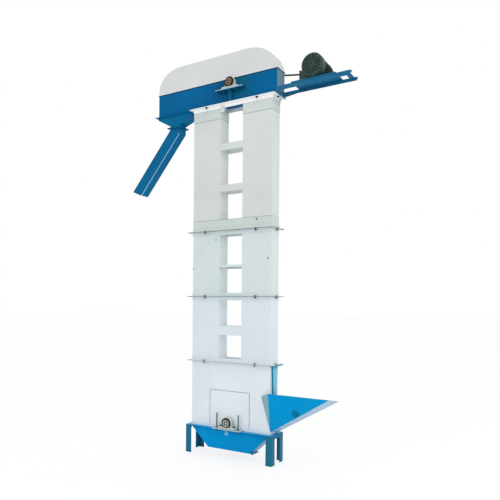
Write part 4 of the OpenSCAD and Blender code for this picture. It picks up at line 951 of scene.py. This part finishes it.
# %% Mastic in the flange joints and along the collars
for node, material, radius in (("lower_frame", grey_mastic, 1.7), ("middle_frame", mastic_and_painted_shade, 2.7),
                               ("upper_frame", black_mastic, 3.2)):
    low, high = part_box(node)
    bead(node + "_mastic", loop(low, high, low.z), radius, material, "root", 0.2, 14)
collar_lines = []
inset = Vector((0.001, 0.0006, 0))
for low, high in islands("upper_collars"):
    for z in (low.z, high.z):
        collar_lines += loop(low + inset, high - inset, z)
bead("collar_mastic", collar_lines, 1.5, grey_mastic, "root", 0.3, 22)

# A dark line along the middle tie bar's lower front edge: painted shade under the bar
low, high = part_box("middle_frame")
gap_from, gap_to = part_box("middle_left_duct")[1].x - 0.002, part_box("middle_right_duct")[0].x + 0.002
shade_under_tie_bar = [line for line in seams("middle_frame", front, lambda c, n: n.z < -0.6)
             if all(gap_from < point.x < gap_to and low.z + 0.1 < point.z < high.z - 0.1 for point in line)]
bead("tie_bar_painted_shade", shade_under_tie_bar, 2.2, mastic_and_painted_shade, "root", 0.15, 14)
print(len(shade_under_tie_bar), "lines of bare edge on the tie bar")

# %% [markdown]
# ## The boot's covers
# A plate on each side of the boot gives a way in to the lower drum. A pale rubber gasket looks out
# from under three of its edges, and hexagon screws hold it. They were painted over with the plate.

# %% Gaskets round the covers
COVERS = (("boot_cover_front", -1), ("boot_cover_rear", 1))
gasket_lines = []
for node, outward in COVERS:
    low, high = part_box(node)
    y, foot_z = (low if outward < 0 else high).y, low.z + 0.02
    corners = [Vector((x, y, z)) for x, z in ((low.x, foot_z), (low.x, high.z),
                                              (high.x, high.z), (high.x, foot_z))]
    gasket_lines += [list(pair) for pair in zip(corners, corners[1:])]
bead("boot_cover_gaskets", gasket_lines, 2.6, pale_gasket, "root")
print(len(gasket_lines), "lines of gasket")

# %% [markdown]
# ## The hood's lip
# The hood's lower edge is rolled outwards and sits on a strip of black rubber, which keeps rain and
# dust apart. The lip is pure white, a painted highlight, and the strip's dark navy stands for the
# shadow under the lip as well: painted shade.

# %% Rolled lip and rubber strip
CLEAR = 0.0003  # between a strip and the sheet behind it


def ring_of_strips(name, z0, z1, proud, material, bevel_mm):
    """Four strips round the head, from height z0 to z1, that stand proud of its sheets."""
    bm = bmesh.new()
    left, right, near, far = band_low.x, band_high.x, front_y, rear_y
    for x0, y0, x1, y1 in ((left - proud, near - proud, right + proud, near - CLEAR),
                           (left - proud, far + CLEAR, right + proud, far + proud),
                           (left - proud, near - CLEAR, left - CLEAR, far + CLEAR),
                           (right + CLEAR, near - CLEAR, right + proud, far + CLEAR)):
        box_body(bm, (x0 * 1000, y0 * 1000, z0 * 1000), (x1 * 1000, y1 * 1000, z1 * 1000))
    finished_piece(name, bm, material, "root", bevel_mm=bevel_mm)


# Dark navy: rubber under blue paint, and the painted shade under the hood's lip
navy_seal_and_painted_shade = rough_coat("navy_rubber_and_painted_shade", "#06263C", "#0C3A58", 0.50, 2.0, 0.0004, 0.5, 0.2)
band_top = band_high.z
ring_of_strips("hood_seal", band_top - 0.006, band_top - 0.0004, 0.0022, navy_seal_and_painted_shade, 0.5)
# The lip in pure white: a painted highlight
ring_of_strips("hood_lip", band_top, band_top + 0.011, 0.0042, painted_highlight_white, 1.6)
print("the hood's lip lies", round(band_top, 3), "m up")

# %% [markdown]
# ## Small screws
# One screw is modelled upright at the origin, and copies of its mesh are turned and put in place.
# A painted-over screw is the sign of a real casing: the sprayer doesn't mask anything.

# %% Helper: put copies of a small shape in place
def hex_screw(across_mm, height_mm):
    bm = bmesh.new()
    disc(bm, (0, 0, 0), across_mm * 0.64 / 1000, 0.0013, 20)
    hexagon(bm, (0, 0, 0.0013), across_mm / 1000, height_mm / 1000)
    return mesh_of(bm, "hex_screw")


def pan_screw(across_mm):
    bm = bmesh.new()
    radius = across_mm / 2000
    disc(bm, (0, 0, 0), radius, radius * 0.45, 18, radius * 0.92)
    disc(bm, (0, 0, radius * 0.45), radius * 0.92, radius * 0.25, 18, radius * 0.55)
    return mesh_of(bm, "pan_screw")


def stamped(name, template, spots, material, body):
    """Copies a small shape, drawn upright at the origin, to each (point, direction)."""
    bm = bmesh.new()
    for point, direction in spots:
        copy = template.copy()
        turn = Vector(direction).to_track_quat("Z", "Y").to_matrix().to_4x4()
        copy.transform(Matrix.Translation(point) @ turn)
        bm.from_mesh(copy)
        bpy.data.meshes.remove(copy)
    finished_piece(name, bm, material, body, 30)


# %% Screws in the boot covers and in the hood's lip
EDGE = 0.014  # from a screw to the plate's edge
cover_screws = []
for node, outward in COVERS:
    low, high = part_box(node)
    y = (low if outward < 0 else high).y
    spots = [(x, low.z + up) for x in (low.x + EDGE, high.x - EDGE) for up in (0.07, 0.17, 0.27)]
    spots += [(low.x + share * (high.x - low.x), high.z - EDGE) for share in (0.04, 0.35, 0.65, 0.96)]
    cover_screws += [(Vector((x, y, z)), (0, outward, 0)) for x, z in spots]
stamped("boot_cover_screws", hex_screw(10, 4), cover_screws, boot_white_painted_light, "root")

LIP_SCREWS, LIP_END = 7, 0.09
pitch = (band_high.x - band_low.x - 2 * LIP_END) / (LIP_SCREWS - 1)
lip_screws = [(Vector((band_low.x + LIP_END + number * pitch, y, band_top + 0.022)), (0, outward, 0))
              for number in range(LIP_SCREWS) for y, outward in ((front_y, -1), (rear_y, 1))]
stamped("hood_screws", pan_screw(9), lip_screws, hood_white, "root")
print(len(cover_screws), "screws in the covers,", len(lip_screws), "in the lip")

# %% [markdown]
# ## The cleat on the collar
# A short flat bar is screwed to the front of the upper collar. What it is for can't be seen from
# below, so it is a plain block with rounded edges and two screws.

# %% The cleat on the upper collar
cleat_low, cleat_high = at(-121, -77, 3212), at(-76, -71.8, 3270)
cleat_bm = bmesh.new()
box_body(cleat_bm, cleat_low * 1000, cleat_high * 1000)
finished_piece("collar_cleat", cleat_bm, upper_white, "root", bevel_mm=1.2)
cleat_x = (cleat_low.x + cleat_high.x) / 2
cleat_screws = [(Vector((cleat_x, cleat_low.y, z)), (0, -1, 0))
                for z in (cleat_low.z + EDGE, cleat_high.z - EDGE)]
stamped("cleat_screws", hex_screw(8, 3), cleat_screws, upper_white, "root")
print("the cleat is", round((cleat_high.z - cleat_low.z) * 1000), "mm high")

# %% [markdown]
# ## The fan cowl
# The cowl over a motor's fan is a pressed steel cup. Its slots are pierced, and the press turns
# their edges inwards, away from hands. One profile is spun in many steps, two faces in every six
# are cut out of the end, and the edges of each hole are extruded inwards. A Solidify modifier then
# gives the sheet its thickness.

# %% Spin the cup, pierce it and turn the edges in
cowl_low, cowl_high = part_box("fan_cowl")
cowl_r = (cowl_high.x - cowl_low.x) / 2
cowl_axis = Vector(((cowl_low.x + cowl_high.x) / 2, cowl_low.y, (cowl_low.z + cowl_high.z) / 2))
COWL_SLOTS = 18
COWL_STEPS = COWL_SLOTS * 6
COWL_LONG = 0.080
CORNER = 0.0140  # radius of the pressed corner
SLOT_FROM, SLOT_TO = 0.0270, cowl_r - 0.0165
cowl_bm = bmesh.new()
profile = [(0.0080, 0.0006), (0.0135, 0.0), (0.0240, 0.0), (SLOT_FROM, 0.0010), (SLOT_TO, 0.0010),
           (cowl_r - CORNER, 0.0030)]
profile += [(cowl_r - CORNER + CORNER * math.sin(turn), 0.0170 - CORNER * math.cos(turn))
            for turn in (math.radians(degrees) for degrees in (20, 40, 60, 80, 90))]
profile += [(cowl_r, 0.040), (cowl_r, COWL_LONG - 0.006), (cowl_r - 0.0006, COWL_LONG)]
ring = [cowl_bm.verts.new(cowl_axis + Vector((radius, along, 0))) for radius, along in profile]
edges = [cowl_bm.edges.new(pair) for pair in zip(ring, ring[1:])]
bmesh.ops.spin(cowl_bm, geom=ring + edges, cent=cowl_axis, axis=(0, 1, 0), angle=math.tau,
               steps=COWL_STEPS, use_merge=True)
bmesh.ops.recalc_face_normals(cowl_bm, faces=cowl_bm.faces)
if sum(face.normal.y * face.calc_area() for face in cowl_bm.faces
       if (face.calc_center_median() - cowl_axis).y < 0.002) > 0:
    bmesh.ops.reverse_faces(cowl_bm, faces=cowl_bm.faces)


def in_slot(face):
    spot = face.calc_center_median() - cowl_axis
    radius = math.hypot(spot.x, spot.z)
    turn = math.degrees(math.atan2(spot.z, spot.x)) % (360 / COWL_SLOTS)
    return SLOT_FROM + 0.0002 < radius < SLOT_TO - 0.0003 and spot.y < 0.004 and turn < 2 * 360 / COWL_STEPS


holes = [face for face in cowl_bm.faces if in_slot(face)]
bmesh.ops.delete(cowl_bm, geom=holes, context="FACES")
rims = [edge for edge in cowl_bm.edges if edge.is_boundary
        and 0.02 < math.hypot(*((edge.verts[0].co + edge.verts[1].co) / 2 - cowl_axis).xz) < cowl_r - 0.01]
lips = bmesh.ops.extrude_edge_only(cowl_bm, edges=rims)
bmesh.ops.translate(cowl_bm, vec=(0, 0.0035, 0),
                    verts=[item for item in lips["geom"] if isinstance(item, bmesh.types.BMVert)])
shade(cowl_bm, 35)
cowl_mesh = to_mesh(cowl_bm, "pressed_cowl")
cowl_mesh.materials.append(cowl_enamel)
cowl = linked("pressed_cowl", cowl_mesh)
sheet = cowl.modifiers.new("sheet_thickness", "SOLIDIFY")
sheet.thickness = 0.0012
sheet.offset = -1
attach(cowl, body_of["fan_cowl"])
stand_for(cowl, "fan_cowl")
print(len(holes), "faces pierced, cowl radius", round(cowl_r, 4))

# %% [markdown]
# ## The motor's screws and gland
# Four screws hold the cowl to the motor from the sides, and four more hold the end shield at the
# other end. The terminal box has a lid with four screws, and a nylon gland where the cable would go
# in. All are stamped copies, placed from the boxes of the pieces that they hold.

# %% Screws of the motor: cowl, end shield and terminal box
shield_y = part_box("motor_end_shields")[1].y - 0.0265
cowl_screw_y = cowl_low.y + COWL_LONG - 0.008
cowl_screws, shield_screws = [], []
for degrees in (45, 135, 225, 315):
    outward = Vector((math.cos(math.radians(degrees)), 0, math.sin(math.radians(degrees))))
    centre = Vector((cowl_axis.x, 0, cowl_axis.z))
    cowl_screws.append((centre + outward * (cowl_r - 0.0004) + Vector((0, cowl_screw_y, 0)), outward))
    shield_screws.append((centre + outward * 0.083 + Vector((0, shield_y, 0)), (0, 1, 0)))
stamped("cowl_screws", pan_screw(9), cowl_screws, motor_enamel, body_of["fan_cowl"])
stamped("end_shield_screws", hex_screw(9, 5), shield_screws, motor_enamel, body_of["motor_end_shields"])

box_low, box_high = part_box("terminal_box")
lid_screws = [(Vector((box_low.x, y, z)), (-1, 0, 0)) for y in (box_low.y + 0.009, box_high.y - 0.025)
              for z in (box_low.z + 0.009, box_high.z - 0.009)]
stamped("terminal_box_screws", pan_screw(7), lid_screws, zinc_plate, body_of["terminal_box"])

gland_bm = bmesh.new()
hexagon(gland_bm, (0, 0, 0), 0.024, 0.008)
disc(gland_bm, (0, 0, 0.008), 0.0105, 0.006, 24, 0.0085)
gland_at = Vector((box_low.x + 0.038, box_high.y - 0.0145, (box_low.z + box_high.z) / 2))
stamped("cable_gland", mesh_of(gland_bm, "gland"), [(gland_at, (0, 1, 0))], fan_nylon,
        body_of["terminal_box"])
print(len(cowl_screws) + len(shield_screws) + len(lid_screws), "screws on the motor")

# %% [markdown]
# ## Floor, backdrop and light
# The machine stands on a plain pale floor under soft studio light. The world and two broad lamps
# together light a surface at about the level where its colour renders as it is written. Camera and
# mirror rays that miss everything see white, so the backdrop is white without lighting the machine.

# %% The floor
GLOW_SHARE = 0.72  # of what the camera sees of the floor: the rest shows the shadow
floor_bm = bmesh.new()
bmesh.ops.create_grid(floor_bm, x_segments=1, y_segments=1, size=60)
floor = linked("floor", to_mesh(floor_bm, "floor"))
floor_paint, tree, place = start_material("pale_floor")
tone = mix(tree, noise(tree, place, 900), linear("#F6F7F8"), linear("#F2F3F4"))
matt = add(tree, "ShaderNodeBsdfDiffuse", {"Color": tone})
glow = add(tree, "ShaderNodeEmission", {"Color": linear("#FFFFFF"), "Strength": 1.06})
rays = add(tree, "ShaderNodeLightPath")
share = maths(tree, "MULTIPLY", rays.outputs["Is Camera Ray"], GLOW_SHARE)
both = add(tree, "ShaderNodeMixShader", {"Fac": share, 1: matt.outputs["BSDF"],
                                         2: glow.outputs["Emission"]})
add(tree, "ShaderNodeOutputMaterial", {"Surface": both.outputs["Shader"]})
floor.data.materials.append(floor_paint)
print("the floor is", round(floor.dimensions.x), "m wide")

# %% The backdrop
SKY_LEVEL = 0.86  # the light that reaches the machine; the camera sees 1, which is white
world = bpy.data.worlds.new("studio")
bpy.context.scene.world = world
world.use_nodes = True
sky = world.node_tree
sky.nodes.clear()
rays = add(sky, "ShaderNodeLightPath").outputs
seen = rays["Is Camera Ray"]
for kind in ("Is Glossy Ray", "Is Transmission Ray"):
    seen = maths(sky, "MAXIMUM", seen, rays[kind])
level = ramp(sky, seen, 0.0, 1.0, SKY_LEVEL, 1.0)
light = add(sky, "ShaderNodeBackground", {"Color": linear("#FFFFFF"), "Strength": level})
add(sky, "ShaderNodeOutputWorld", {"Surface": light.outputs["Background"]})
print("the world has", len(sky.nodes), "nodes")

# %% Two broad lamps
AIM_AT = Vector((centre_x, front_y, 1.9))


def area_lamp(name, offset, size, watts):
    """A square lamp, offset from the foot of the casing's front, that looks at its middle."""
    lamp = bpy.data.lights.new(name, "AREA")
    lamp.shape = "RECTANGLE"
    lamp.size, lamp.size_y = size, size
    lamp.energy = watts
    spot = Vector((centre_x, front_y, 0)) + Vector(offset)
    aim = (AIM_AT - spot).to_track_quat("-Z", "Y").to_matrix().to_4x4()
    linked(name, lamp).matrix_world = Matrix.Translation(spot) @ aim
    print(name, "is", round((AIM_AT - spot).length, 1), "m away")


area_lamp("key_light", (7.0, -2.6, 4.2), 3.0, 100)
area_lamp("fill_light", (-3.0, -6.6, 5.6), 4.0, 30)
bpy.context.scene.view_settings.view_transform = "Standard"
